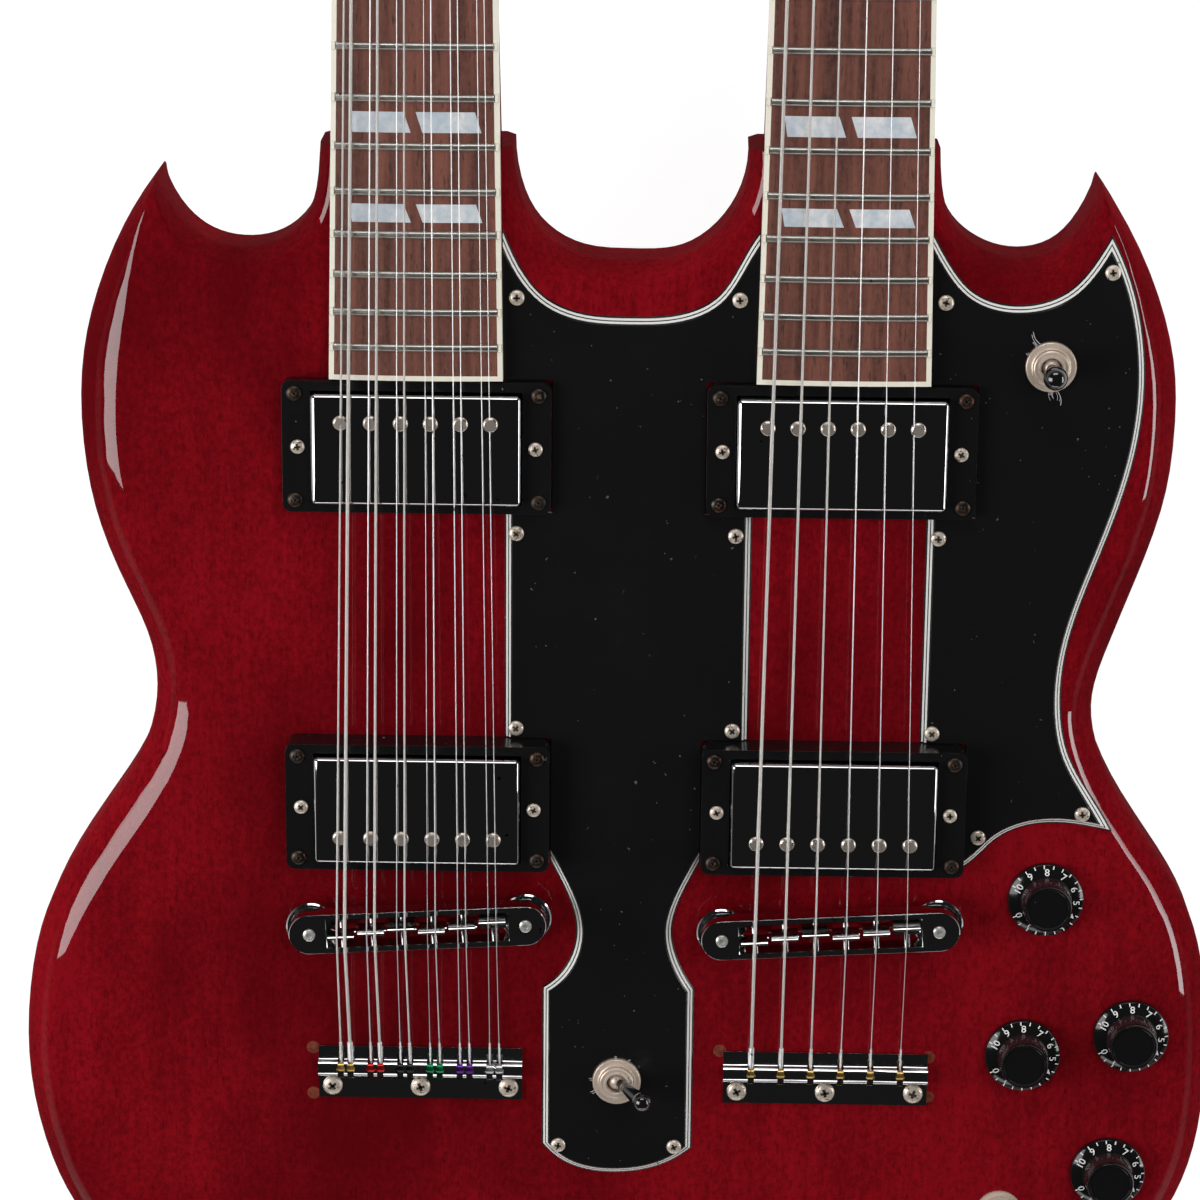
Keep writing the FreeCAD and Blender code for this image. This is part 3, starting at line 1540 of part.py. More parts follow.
def make_tailpieces():
    shapes = []
    screws = []
    wide = tail_width.value
    for name, side in NECKS.items():
        plate = tail_profile().extrude(Vector(wide, 0, 0))
        centre = side * neck_spacing.value / 2
        plate.translate(Vector(centre - wide / 2, -tail_distance.value, body_thick.value))
        cuts = []
        crest = body_thick.value + tail_thick.value
        high = roll_radius.value + overrun.value
        for _number, _course, _radius, tail, _saddle, _nut in string_runs(name):
            x = centre + tail
            half, ball = slot_wide.value / 2, ball_wide.value / 2 + touch_gap.value
            y = -tail_distance.value
            cuts.append(Part.makeBox(2 * ball, roll_bore.value, high,
                                     Vector(x - ball, y - roll_bore.value / 2, crest)))
            cuts.append(Part.makeBox(2 * half, 2 * roll_radius.value, high,
                                     Vector(x - half, y, crest)))
        holes = [
            Part.makeCylinder(tail_screw_shank_radius.value, 2 * tail_thick.value,
                              Vector(x.value, y.value, body_thick.value - overrun.value / 2))
            for x, y in tail_screw_places()
        ]
        shapes.append(plate.cut(cuts + holes))
    for x, y in tail_screw_places():
        seat = body_thick.value + tail_thick.value
        screws.append(
            screw_shape(x.value, y.value, seat, tail_screw_head_radius.value,
                        tail_screw_shank_radius.value, screw_shank_long.value + tail_thick.value)
        )
    add_feature("tailpieces", Part.makeCompound(shapes))
    add_feature("tailpiece_screws", Part.makeCompound(screws))


def tube(points, radius, bend):
    """A round string along straight runs joined by tangent arcs."""
    edges = []
    start = points[0]
    for before, corner, after in zip(points, points[1:], points[2:]):
        back = (before - corner).normalize()
        ahead = (after - corner).normalize()
        turn = math.pi - back.getAngle(ahead)
        reach = bend * math.tan(turn / 2)
        entry, leave = corner + back * reach, corner + ahead * reach
        inward = (back + ahead).normalize()
        sag = bend / math.cos(turn / 2) - bend
        edges.append(Part.LineSegment(start, entry).toShape())
        edges.append(Part.Arc(entry, corner + inward * sag, leave).toShape())
        start = leave
    edges.append(Part.LineSegment(start, points[-1]).toShape())
    section = Part.Wire(Part.Circle(points[0], (points[1] - points[0]).normalize(), radius).toShape())
    return Part.Wire(edges).makePipeShell([section], True, False)


def post_order(name, number):
    """Row and step of a string's post: outer strings go to the nearest posts."""
    count = head_size(name)[2]
    if number < count:
        return -1, number
    return 1, 2 * count - 1 - number


def make_strings():
    strings, balls = [], []
    for name, side in NECKS.items():
        head = head_placement(side)
        neck = neck_placement(side)
        _length, pitch, _count = head_size(name)
        spots = list(saddle_spots(name, side))
        for number, course, radius, tail, saddle, nut in string_runs(name):
            centre = side * neck_spacing.value / 2
            ball = Vector(
                centre + tail, -tail_distance.value,
                body_thick.value + ball_radius.value + touch_gap.value,
            )
            across, back, crest = spots[course]
            mate = saddle - (course - 2.5) * course_pitch_bridge.value
            top = bridge_placement(side).multVec(
                Vector(across + mate, back, crest + radius + touch_gap.value)
            )
            nut_v = nut_string_v.value - crown_drop(nut) + radius
            over_nut = neck.multVec(Vector(nut, board_length.value + nut_long.value, nut_v))
            row, step = post_order(name, number)
            inside = (head_width / 2 - post_inset).value - post_waist_radius.value
            x = row * (inside - radius - touch_gap.value)
            p = (first_post + step * pitch).value
            wrap = headplate_thick.value + wrap_rise.value
            end = head.multVec(Vector(x, p, wrap))
            start = ball + (top - ball).normalize() * (ball_radius.value + touch_gap.value)
            strings.append(tube([start, top, over_nut, end], radius, string_bend.value))
            balls.append(
                Part.makeCylinder(
                    ball_radius.value, ball_wide.value,
                    ball - Vector(ball_wide.value / 2, 0, 0), X_AXIS,
                )
            )
    add_feature("strings", Part.makeCompound(strings))
    add_feature("ball_ends", Part.makeCompound(balls))


# Controls


def make_knobs():
    names = ("knob_volume_12", "knob_tone_12", "knob_volume_6", "knob_tone_6")
    pots = []
    for name, shares in zip(names, KNOB_SHARES):
        x, y = face_point(shares)
        skirt = knob_skirt_radius
        lip = knob_skirt_tall / 4
        profile = [
            (knob_recess_radius, 0), (skirt - lip, 0), (skirt, lip),
            (skirt, knob_skirt_tall - lip), (skirt - lip, knob_skirt_tall),
            (knob_barrel_radius, knob_skirt_tall + lip), (knob_top_radius, knob_tall - lip),
            (knob_top_radius - lip, knob_tall), (0, knob_tall), (0, knob_bore_deep),
            (shaft_radius, knob_bore_deep), (shaft_radius, knob_recess_deep),
            (knob_recess_radius, knob_recess_deep),
        ]
        knob = add_revolved_body(f"{name}_cap", profile)
        place(knob, x, y, body_thick + knob_lift)
        low = body_thick - cavity_top_wood
        shaft = add_cylinder(
            f"{name}_shaft", x, y, low, shaft_radius,
            cavity_top_wood + knob_lift + knob_bore_deep,
        )
        add_compound(name, [knob, shaft])
        pots.append(pot_shape(x.value, y.value))
    add_feature("pots", Part.makeCompound(pots))


def pot_shape(x, y):
    """A potentiometer under the top, with its threaded neck and nut."""
    neck = pot_neck_radius.value
    bore = shaft_radius.value + shaft_clearance.value
    top = body_thick.value - cavity_top_wood.value
    rise = cavity_top_wood.value
    nut, tall = pot_nut_radius.value, pot_nut_tall.value
    profile = [
        (0, -pot_tall.value), (pot_radius.value, -pot_tall.value), (pot_radius.value, 0),
        (neck, 0), (neck, rise), (nut, rise), (nut, rise + tall), (neck, rise + tall),
        (neck, rise + pot_neck_rise.value), (bore, rise + pot_neck_rise.value), (bore, 0), (0, 0),
    ]
    return turned(profile, x, y, top)


def lever_shape(long, tip, axis):
    """A toggle lever standing on its pivot pin, with its ball, stem and tip."""
    ball = Part.makeSphere(lever_ball_radius.value)
    run = lever_pin_long.value
    pin = Part.makeCylinder(lever_pin_radius.value, run, axis * (-run / 2), axis)
    stem = Part.makeCone(lever_root_radius.value, tip * 0.6, long)
    bat = Part.makeSphere(tip, Vector(0, 0, long))
    return ball.fuse([pin, stem, bat]).removeSplitter()


def make_switches():
    fixed = []
    for name, x, y, wide, long in switch_places():
        x, y, wide, long = x.value, y.value, wide.value, long.value
        top = body_thick.value
        frame = Part.makeBox(wide, long, switch_deep.value,
                             Vector(x - wide / 2, y - long / 2, top - switch_deep.value))
        rise = guard_thick.value + collar_rise.value
        well = top - collar_deep.value
        collar = Part.makeCylinder(collar_radius.value, rise, Vector(x, y, top))
        bore = Part.makeCylinder(collar_bore.value, rise + collar_deep.value, Vector(x, y, well))
        fixed.append(frame.fuse(collar).removeSplitter().cut(bore))
        washer = [
            (collar_radius.value, 0), (washer_radius.value, 0),
            (washer_radius.value, washer_thick.value), (collar_radius.value, washer_thick.value),
        ]
        fixed.append(turned(washer, x, y, guard_z.value))
    add_feature("switches", Part.makeCompound(fixed))
    pivot = guard_z.value
    places = {name: (x.value, y.value) for name, x, y, _wide, _long in switch_places()}
    lever = lever_shape(pickup_lever_long.value, pickup_tip_radius.value, X_AXIS)
    lever.translate(Vector(*places["pickup"], pivot))
    add_feature("pickup_switch_lever", lever)
    lever = lever_shape(neck_lever_long.value, neck_tip_radius.value, Y_AXIS)
    lever.rotate(Vector(), Y_AXIS, neck_lever_angle.value)
    lever.translate(Vector(*places["neck"], pivot))
    add_feature("neck_switch_lever", lever)


def make_jack():
    x, y = face_point(JACK_SHARES)
    sleeve, bore = jack_sleeve_radius, jack_bore
    thin = jack_washer_thick
    nut_top = thin + jack_nut_tall
    deep = -1 * jack_deep
    shoulder = -1 * cavity_top_wood
    profile = [
        (bore, deep), (sleeve * 1.5, deep), (sleeve * 1.5, shoulder), (sleeve, shoulder),
        (sleeve, 0), (jack_washer_radius, 0), (jack_washer_radius, thin), (jack_nut_radius, thin),
        (jack_nut_radius, nut_top), (sleeve, nut_top), (sleeve, jack_rise), (bore, jack_rise),
    ]
    place(add_revolved_body("output_jack", profile), x, y, body_thick)


def strap_profile():
    tall, base = strap_tall.value, strap_base_radius.value
    waist, head, bore = strap_waist_radius.value, strap_head_radius.value, strap_screw_radius.value
    return [
        (bore, 0), (base, 0), (base, tall * 0.12), (waist, tall * 0.3), (waist, tall * 0.65),
        (head, tall * 0.9), (head, tall), (bore, tall),
    ]


def strap_frames():
    """Placements of the strap buttons: at the tail end and behind the heel."""
    bottom = BOUT_SHARES[20][1] * body_length.value
    tail = FreeCAD.Placement(
        Vector(0, bottom, body_thick.value / 2), FreeCAD.Rotation(X_AXIS, 90)
    )
    heel = FreeCAD.Placement(
        Vector(0, STRAP_HEEL_Y_SHARE * body_length.value, 0), FreeCAD.Rotation(X_AXIS, 180)
    )
    return [tail, heel]


def strap_screws(rise):
    """Strap button screws, or with no rise the holes that they need in the wood."""
    tall = strap_tall.value if rise else 0.0
    shank = Part.makeCylinder(
        strap_screw_radius.value, strap_screw_long.value + tall,
        Vector(0, 0, -strap_screw_long.value),
    )
    if rise:
        head = Part.makeCylinder(strap_screw_radius.value * 1.8, rise, Vector(0, 0, tall))
        shank = shank.fuse(head).removeSplitter()
    return Part.makeCompound([placed(shank, frame) for frame in strap_frames()])


def make_strap_buttons():
    buttons = [placed(turned(strap_profile()), frame) for frame in strap_frames()]
    screws = strap_screws(screw_head_tall.value)
    add_feature("strap_buttons", Part.makeCompound(buttons + screws.SubShapes))


def make_control_cover():
    plate = control_plate("cover_plate", cavity_margin + cover_lip, 0, rear_cover_thick)
    holes = [
        add_cylinder(f"cover_hole_{number}", x, y, 0, screw_shank_radius, rear_cover_thick)
        for number, (x, y) in enumerate(rear_screw_places())
    ]
    add_cut("control_cover", plate, add_compound("cover_holes", holes))


SUBPARTS = [
    "body", "neck_12", "neck_6", "headplates", "truss_rods", "truss_covers", "fretboard_12",
    "fretboard_6", "bindings", "frets", "inlays", "nuts", "tuner_housings", "tuner_bushings",
    "tuner_posts", "pickguard_center", "pickguard_treble", "small_screws", "pickup_rings",
    "pickup_covers", "pickup_cores", "pole_screws", "ring_screws", "height_screws",
    "bridge_bases", "bridge_posts", "saddles", "tailpieces", "tailpiece_screws", "strings",
    "ball_ends", "knob_volume_12", "knob_tone_12", "knob_volume_6", "knob_tone_6", "pots",
    "switches", "pickup_switch_lever", "neck_switch_lever", "output_jack", "control_cover",
    "strap_buttons",
]
SUBPARTS += [
    f"tuner_key_{name}_{number + 1:02d}"
    for name in NECKS
    for number in range(2 * head_size(name)[2])
]


def check_and_export():
    doc.recompute()
    failed = [
        thing.Name
        for thing in doc.Objects
        if "Invalid" in thing.State or "Error" in thing.State
    ]
    if failed:
        raise RuntimeError(f"failed objects: {failed}")
    os.makedirs("parts", exist_ok=True)
    for name in SUBPARTS:
        thing = doc.getObject(name)
        thing.Label = name
        if thing.Shape.isNull() or not thing.Shape.isValid():
            raise RuntimeError(f"bad shape: {name}")
    for name in SUBPARTS:
        shape = doc.getObject(name).Shape
        shape.exportStep(f"parts/{name}.step")
        print(name, len(shape.Solids), round(shape.Volume, 1))


def main():
    make_necks()
    make_fingerboards()
    make_tuners()
    make_rings()
    make_pickups()
    make_ring_screws()
    make_guards()
    make_small_screws()
    make_bridges()
    make_tailpieces()
    make_strings()
    make_knobs()
    make_switches()
    make_jack()
    make_strap_buttons()
    make_control_cover()
    make_body()
    check_and_export()


main()
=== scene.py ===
"""The looks of a double-neck electric guitar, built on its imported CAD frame."""

import math
import random

import bmesh
import bpy
import numpy as np
from mathutils import Matrix, Vector


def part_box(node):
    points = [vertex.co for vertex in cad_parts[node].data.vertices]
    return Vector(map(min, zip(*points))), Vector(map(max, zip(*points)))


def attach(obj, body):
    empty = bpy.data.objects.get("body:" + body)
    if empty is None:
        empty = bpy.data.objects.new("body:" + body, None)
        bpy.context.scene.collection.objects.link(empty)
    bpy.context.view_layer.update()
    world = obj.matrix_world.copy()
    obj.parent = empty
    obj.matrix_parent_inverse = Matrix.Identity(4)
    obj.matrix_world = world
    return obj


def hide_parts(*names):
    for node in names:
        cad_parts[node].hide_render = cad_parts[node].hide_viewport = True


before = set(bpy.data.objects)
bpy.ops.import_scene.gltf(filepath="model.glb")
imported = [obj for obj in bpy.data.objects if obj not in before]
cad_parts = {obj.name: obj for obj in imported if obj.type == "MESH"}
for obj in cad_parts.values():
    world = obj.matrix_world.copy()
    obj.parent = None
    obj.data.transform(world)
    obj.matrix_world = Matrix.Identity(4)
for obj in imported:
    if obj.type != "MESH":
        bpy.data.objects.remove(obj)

bl_info = {
    "name": "Double-neck guitar looks",
    "version": (1, 0, 0),
    "blender": (4, 5, 0),
    "location": "3D View > Sidebar > Guitar",
    "description": "Builds the looks of a double-neck electric guitar on its CAD frame",
    "category": "Object",
}

MM = 0.001
FIXED = "instrument"
BODY_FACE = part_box("pickguard_center")[0].z
GUARD_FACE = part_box("pickguard_center")[1].z
KNOBS = ("knob_volume_12", "knob_tone_12", "knob_volume_6", "knob_tone_6")
LEVERS = ("pickup_switch_lever", "neck_switch_lever")


# Sizes and colours that a user would change


class GuitarColours(bpy.types.PropertyGroup):
    def tint(label, text, value):
        return bpy.props.FloatVectorProperty(
            name=label, description=text, subtype="COLOR", size=3, default=value, min=0, max=1
        )

    cherry_bright: tint("Bright cherry", "Lacquered wood where it is thin", (0.235, 0.004, 0.009))
    cherry_deep: tint("Deep cherry", "Lacquered wood where it is dense", (0.095, 0.0015, 0.0035))
    rosewood: tint("Rosewood", "Fingerboards", (0.185, 0.068, 0.048))
    rosewood_dark: tint("Rosewood streaks", "Dark streaks of the boards", (0.055, 0.023, 0.019))
    binding: tint("Binding", "Cream edge of the boards", (0.80, 0.76, 0.65))
    pearl: tint("Pearl", "Inlays of the boards", (0.50, 0.56, 0.62))
    black: tint("Black plastic", "Guards, rings and knobs", (0.006, 0.006, 0.0065))
    smoke: tint("Smoked plastic", "Barrels of the knobs", (0.030, 0.012, 0.014))
    chrome: tint("Chrome", "Bridges, tailpieces and covers", (0.62, 0.62, 0.63))
    nickel: tint("Nickel", "Screws, frets and washers", (0.60, 0.57, 0.52))


class GuitarSizes(bpy.types.PropertyGroup):
    digit_height: bpy.props.FloatProperty(
        name="Digit height", description="Height of a knob's numbers", default=2.35 * MM,
        unit="LENGTH", min=0.0005, max=0.006,
    )
    tick_count: bpy.props.IntProperty(
        name="Dial marks", description="Marks round a knob", default=21, min=5, max=60
    )
    twist_turns: bpy.props.FloatProperty(
        name="Twist turns", description="Turns of a string's twisted end", default=7.0,
        min=1.0, max=20.0,
    )
    winding_pitch: bpy.props.FloatProperty(
        name="Winding pitch", description="Pitch of the wound strings", default=0.32 * MM,
        unit="LENGTH", min=0.0001, max=0.002,
    )
    floor_drop: bpy.props.FloatProperty(
        name="Floor distance", description="Floor under the body's back", default=90 * MM,
        unit="LENGTH", min=0.05, max=1.0,
    )
    camera_lens: bpy.props.FloatProperty(
        name="Camera lens", description="Focal length on a 36 mm frame", default=118.5,
        min=20, max=300,
    )


def tinted(name):
    return tuple(getattr(bpy.context.scene.guitar_colours, name))


def sizes():
    return bpy.context.scene.guitar_sizes


# Node trees


def once(store, fixed=None):
    """Make a material or node tree at its first use and hand back the same one later."""
    def wrap(build):
        def get(*values, **settings):
            values = (fixed, *values) if fixed else values
            kept = getattr(bpy.data, store)
            return kept[values[0]] if values[0] in kept else build(*values, **settings)
        return get
    return wrap


class Tree:
    """Plain calls for building a shader or geometry tree."""

    def __init__(self, tree):
        self.tree = tree
        self.shelf = 0

    def add(self, kind, settings=None, **values):
        """A new node; an underscore stands for a space in a socket's name."""
        node = self.tree.nodes.new(kind)
        node.location = (self.shelf, 0)
        self.shelf += 220
        for key, value in (settings or {}).items():
            setattr(node, key, value)
        self.give(node, **values)
        return node

    def give(self, node, **values):
        for key, value in values.items():
            self.feed(node.inputs[key.replace("_", " ")], value)

    def feed(self, socket, value):
        if isinstance(value, bpy.types.NodeSocket):
            self.tree.links.new(value, socket)
        elif isinstance(value, bpy.types.Node):
            self.tree.links.new(value.outputs[0], socket)
        elif socket.type == "RGBA":
            socket.default_value = (*value, 1.0)
        else:
            socket.default_value = value

    def maths(self, operation, *values):
        node = self.add("ShaderNodeMath", {"operation": operation})
        for socket, value in zip(node.inputs, values):
            self.feed(socket, value)
        return node.outputs[0]

    def band(self, value, low, high, out_low=0.0, out_high=1.0):
        return self.add(
            "ShaderNodeMapRange", Value=value, From_Min=low, From_Max=high, To_Min=out_low,
            To_Max=out_high,
        ).outputs["Result"]

    def blend(self, share, first, second):
        node = self.add("ShaderNodeMix", {"data_type": "RGBA"})
        for place, value in ((0, share), (6, first), (7, second)):
            self.feed(node.inputs[place], value)
        return node.outputs[2]

    def veil(self, share, most, first, second):
        return self.blend(self.maths("MULTIPLY", share, most), first, second)

    def noise(self, vector, scale, detail=2.0, roughness=0.5):
        return self.add(
            "ShaderNodeTexNoise", Vector=vector, Scale=scale, Detail=detail, Roughness=roughness
        ).outputs["Fac"]

    def stretched(self, vector, x, y, z):
        return self.add("ShaderNodeMapping", Vector=vector, Scale=(x, y, z)).outputs[0]

    def split(self, vector):
        return self.add("ShaderNodeSeparateXYZ", Vector=vector).outputs

    def group(self, group, **values):
        return self.add("ShaderNodeGroup", {"node_tree": group}, **values).outputs

    def steps(self, share, stops):
        """Sharp colour steps along a share, from (position, colour) stops."""
        ramp = self.add("ShaderNodeValToRGB")
        self.feed(ramp.inputs[0], share)
        ramp.color_ramp.interpolation = "CONSTANT"
        elements = ramp.color_ramp.elements
        while len(elements) < len(stops):
            elements.new(0.5)
        for element, (position, colour) in zip(elements, stops):
            element.position = position
            element.color = (*colour, 1.0)
        return ramp.outputs[0]

    def bump(self, shader, height, strength, distance, invert=False):
        node = self.add("ShaderNodeBump", {"invert": invert}, Strength=strength,
                        Distance=distance, Height=height)
        self.give(shader, Normal=node)

    def painted(self, sink, geometry, material):
        """Make instances real, give them a material and put them out."""
        real = self.add("GeometryNodeRealizeInstances", Geometry=geometry)
        coat = self.add("GeometryNodeSetMaterial", Geometry=real, Material=material)
        self.give(sink, Geometry=coat)


def new_group(kind, name, inputs, outputs):
    """An empty node group: itself, its tree, its inputs' sockets and its output node."""
    group = bpy.data.node_groups.new(name, kind)
    for label, socket_kind, default in inputs:
        socket = group.interface.new_socket(
            label, in_out="INPUT", socket_type="NodeSocket" + socket_kind
        )
        if default is not None:
            socket.default_value = default
    for label, socket_kind in outputs:
        group.interface.new_socket(
            label, in_out="OUTPUT", socket_type="NodeSocket" + socket_kind
        )
    tree = Tree(group)
    return group, tree, tree.add("NodeGroupInput").outputs, tree.add("NodeGroupOutput")


def geometry_group(name, inputs):
    return new_group("GeometryNodeTree", name, [("Geometry", "Geometry", None), *inputs],
                     [("Geometry", "Geometry")])


@once("node_groups", "wood grain")
def wood_grain(name):
    """Long streaks, short open pores, small bright flecks and clouds along the wood's Y."""
    group, tree, source, sink = new_group(
        "ShaderNodeTree", name, [("Vector", "Vector", None), ("Pore size", "Float", 900.0)],
        [(label, "Float") for label in ("Streaks", "Pores", "Mottle", "Cloud")],
    )
    vector = source["Vector"]
    streak = tree.noise(tree.stretched(vector, 1.0, 0.035, 1.0), 260.0, 5.0, 0.62)
    pores = tree.noise(tree.stretched(vector, 1.0, 0.16, 1.0), source["Pore size"], 1.5)
    mottle = tree.noise(tree.stretched(vector, 1.0, 0.7, 1.0), 640.0, 3.0, 0.7)
    cloud = tree.noise(tree.stretched(vector, 1.0, 0.5, 1.0), 13.0, 3.0, 0.55)
    tree.give(sink, Streaks=tree.band(streak, 0.36, 0.64), Pores=tree.band(pores, 0.60, 0.72),
              Mottle=tree.band(mottle, 0.34, 0.66), Cloud=tree.band(cloud, 0.3, 0.7))
    return group


@once("node_groups", "fine specks")
def fine_specks(name):
    """Small dust and scuff marks with a soft unevenness."""
    group, tree, source, sink = new_group(
        "ShaderNodeTree", name,
        [("Vector", "Vector", None), ("Scale", "Float", 420.0), ("Threshold", "Float", 0.74)],
        [("Specks", "Float"), ("Haze", "Float")],
    )
    dots = tree.noise(source["Vector"], source["Scale"], 2.0, 0.6)
    limit = source["Threshold"]
    haze = tree.noise(source["Vector"], 34.0, 4.0, 0.6)
    tree.give(sink, Specks=tree.band(dots, limit, tree.maths("ADD", limit, 0.03)),
              Haze=tree.band(haze, 0.35, 0.7))
    return group


# Materials


def new_material(name, **values):
    """A material with one Principled shader, its plain values set on the sockets."""
    material = bpy.data.materials.new(name)
    material.use_nodes = True
    tree = Tree(material.node_tree)
    shader = next(n for n in tree.tree.nodes if n.type == "BSDF_PRINCIPLED")
    tree.give(shader, **values)
    tree.shelf = -1600
    place = tree.add("ShaderNodeTexCoord").outputs["Object"]
    return material, tree, shader, place


def with_specks(tree, shader, place, base, speck, rough, spread, threshold=0.74, scale=420):
    """Dust on a plain colour and a slightly uneven gloss."""
    marks = tree.group(fine_specks(), Vector=place, Threshold=threshold, Scale=scale)
    tree.give(shader, Base_Color=tree.blend(marks["Specks"], base, speck),
              Roughness=tree.band(marks["Haze"], 0.0, 1.0, rough, rough + spread))


@once("materials", "cherry lacquer")
def cherry_wood(name):
    """Cherry lacquer over mahogany: deep red, fine dark pores, a clear top coat."""
    bright, deep = tinted("cherry_bright"), tinted("cherry_deep")
    material, tree, shader, place = new_material(
        name, Coat_Roughness=0.03, Coat_IOR=1.5, Specular_IOR_Level=0.0
    )
    upright = tree.maths("ABSOLUTE", tree.split(place.node.outputs["Normal"])["Z"])
    grain = tree.group(wood_grain(), Vector=place, Pore_size=1000.0)
    flecks = tree.maths("MULTIPLY", grain["Mottle"], tree.band(grain["Cloud"], 0, 1, 0.1, 1.0))
    share = tree.maths("ADD", flecks, tree.band(grain["Cloud"], 0, 1, -0.3, 0.54))
    tone = tree.blend(tree.maths("MINIMUM", share, 1.0), deep, bright)
    streaked = tree.veil(grain["Streaks"], 0.3, tone, deep)
    pored = tree.veil(grain["Pores"], 0.38, streaked, (0.035, 0.001, 0.002))
    tree.give(shader, Base_Color=pored, Coat_Weight=tree.band(upright, 0.76, 0.85, 0.02, 1.0),
              Roughness=tree.band(grain["Streaks"], 0.0, 1.0, 0.42, 0.55))
    tree.bump(shader, grain["Pores"], 0.12, 0.00005)
    return material


@once("materials", "oiled rosewood")
def rosewood(name):
    """Oiled rosewood: dark and light streaks with open pores along the board."""
    material, tree, shader, place = new_material(name, Specular_IOR_Level=0.35)
    grain = tree.group(wood_grain(), Vector=place, Pore_size=1300.0)
    tone = tree.blend(grain["Streaks"], tinted("rosewood_dark"), tinted("rosewood"))
    warmed = tree.veil(grain["Mottle"], 0.3, tone, (0.24, 0.10, 0.075))
    pored = tree.veil(grain["Pores"], 0.55, warmed, (0.016, 0.008, 0.007))
    tree.give(shader, Base_Color=pored, Roughness=tree.band(grain["Pores"], 0, 1, 0.42, 0.7))
    tree.bump(shader, grain["Pores"], 0.35, 0.00008, True)
    return material


@once("materials")
def plain_plastic(name, colour, rough=0.2, speck=(0.25, 0.25, 0.26), threshold=0.75, spread=0.1,
                  **values):
    """Moulded plastic with a little dust and an uneven gloss."""
    material, tree, shader, place = new_material(name, **values)
    with_specks(tree, shader, place, colour, speck, rough, spread, threshold)
    return material


@once("materials")
def plated_metal(name, colour, rough=0.08, spread=0.06, tarnish_and_painted_shade=(0.12, 0.10, 0.09), threshold=0.72,
                 scale=300, metallic=1.0):
    """Plated metal with faint tarnish spots."""
    material, tree, shader, place = new_material(name, Metallic=metallic)
    with_specks(tree, shader, place, colour, tarnish_and_painted_shade, rough, spread, threshold, scale)
    return material


def black_plastic(name, rough, **values):
    return plain_plastic(name, tinted("black"), rough, **values)


def worn_nickel(name, scale):
    """The dull warm nickel of the switches and the output jack."""
    return plated_metal(name, (0.66, 0.55, 0.46), 0.34, 0.12, (0.3, 0.22, 0.16), 0.68, scale,
                        metallic=0.45)


@once("materials")
def banded_plastic(name, stops, rough=0.18, **values):
    """Plastic whose colour changes in sharp layers with its height over the back."""
    material, tree, shader, place = new_material(name, **values)
    low, high = stops[0][0], stops[-1][0]
    share = tree.band(tree.split(place)["Z"], low, high)
    layers = tree.steps(share, [((level - low) / (high - low), tint) for level, tint in stops])
    with_specks(tree, shader, place, layers, (0.10, 0.10, 0.10), rough, 0.08, 0.735)
    return material


def guard_plastic():
    """Five-ply guard sheet: black, white, black, white and black from the top down."""
    black, white = tinted("black"), (0.75, 0.75, 0.72)
    layers = ((0, black), (0.2, white), (0.44, black), (0.56, white), (0.8, black))
    depth = GUARD_FACE - BODY_FACE
    stops = [(BODY_FACE + depth * share, tint) for share, tint in layers]
    return banded_plastic("guard layers", [*stops, (GUARD_FACE + MM, black)])


@once("materials", "pearl inlay")
def pearl(name):
    """Pearl with soft cool clouds."""
    material, tree, shader, place = new_material(name, Coat_Weight=0.6, Coat_Roughness=0.08)
    cloud = tree.noise(tree.stretched(place, 1.0, 0.6, 1.0), 130.0, 3.0, 0.6)
    sheen = tree.noise(place, 420.0)
    tone = tree.blend(tree.band(cloud, 0.35, 0.65), tinted("pearl"), (0.74, 0.74, 0.74))
    shaded = tree.veil(tree.band(sheen, 0.4, 0.7), 0.45, tone, (0.36, 0.44, 0.52))
    tree.give(shader, Base_Color=shaded, Roughness=tree.band(cloud, 0.3, 0.7, 0.18, 0.32))
    return material


@once("materials", "wound string")
def wound_string(name):
    """Nickel wire wound round a core: fine rings along the string, darker in the grooves between
    the turns as painted shade.
    """
    material, tree, shader, place = new_material(name, Metallic=0.45)
    rings = tree.add(
        "ShaderNodeTexWave", {"bands_direction": "Y"}, Vector=place,
        Scale=0.314 / sizes().winding_pitch, Distortion=0.0,
    ).outputs["Fac"]
    # Painted shade: the base colour darkens from the crests of the turns into the grooves between
    # them
    tree.give(shader, Base_Color=tree.blend(rings, (0.46, 0.43, 0.40), (0.92, 0.89, 0.85)),
              Roughness=tree.band(rings, 0, 1, 0.45, 0.25))
    tree.bump(shader, rings, 0.6, 0.0001)
    return material


@once("materials", "ball end colours")
def ball_end_colours(name):
    """Ball ends of the courses in their packing colours, from the bass side."""
    material, tree, shader, place = new_material(name, Metallic=0.85)
    tints = [
        (0.62, 0.40, 0.12), (0.55, 0.02, 0.02), (0.03, 0.03, 0.03), (0.01, 0.28, 0.10),
        (0.14, 0.03, 0.30), (0.60, 0.60, 0.60), (0.62, 0.40, 0.12),
    ]
    low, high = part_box("ball_ends")
    course_pitch, margin = 10.36 * MM, 2 * MM
    stops = [
        (max(0.0, (number * course_pitch - margin) / (high.x - low.x)), tint)
        for number, tint in enumerate(tints)
    ]
    haze = tree.noise(place, 500.0)
    across = tree.band(tree.split(place)["X"], low.x, high.x)
    tree.give(shader, Base_Color=tree.steps(across, stops),
              Roughness=tree.band(haze, 0.3, 0.7, 0.2, 0.4))
    return material


# Meshes


def as_mesh(thing):
    """The plain mesh that an object's modifiers make."""
    graph = bpy.context.evaluated_depsgraph_get()
    graph.update()
    return bpy.data.meshes.new_from_object(thing.evaluated_get(graph))


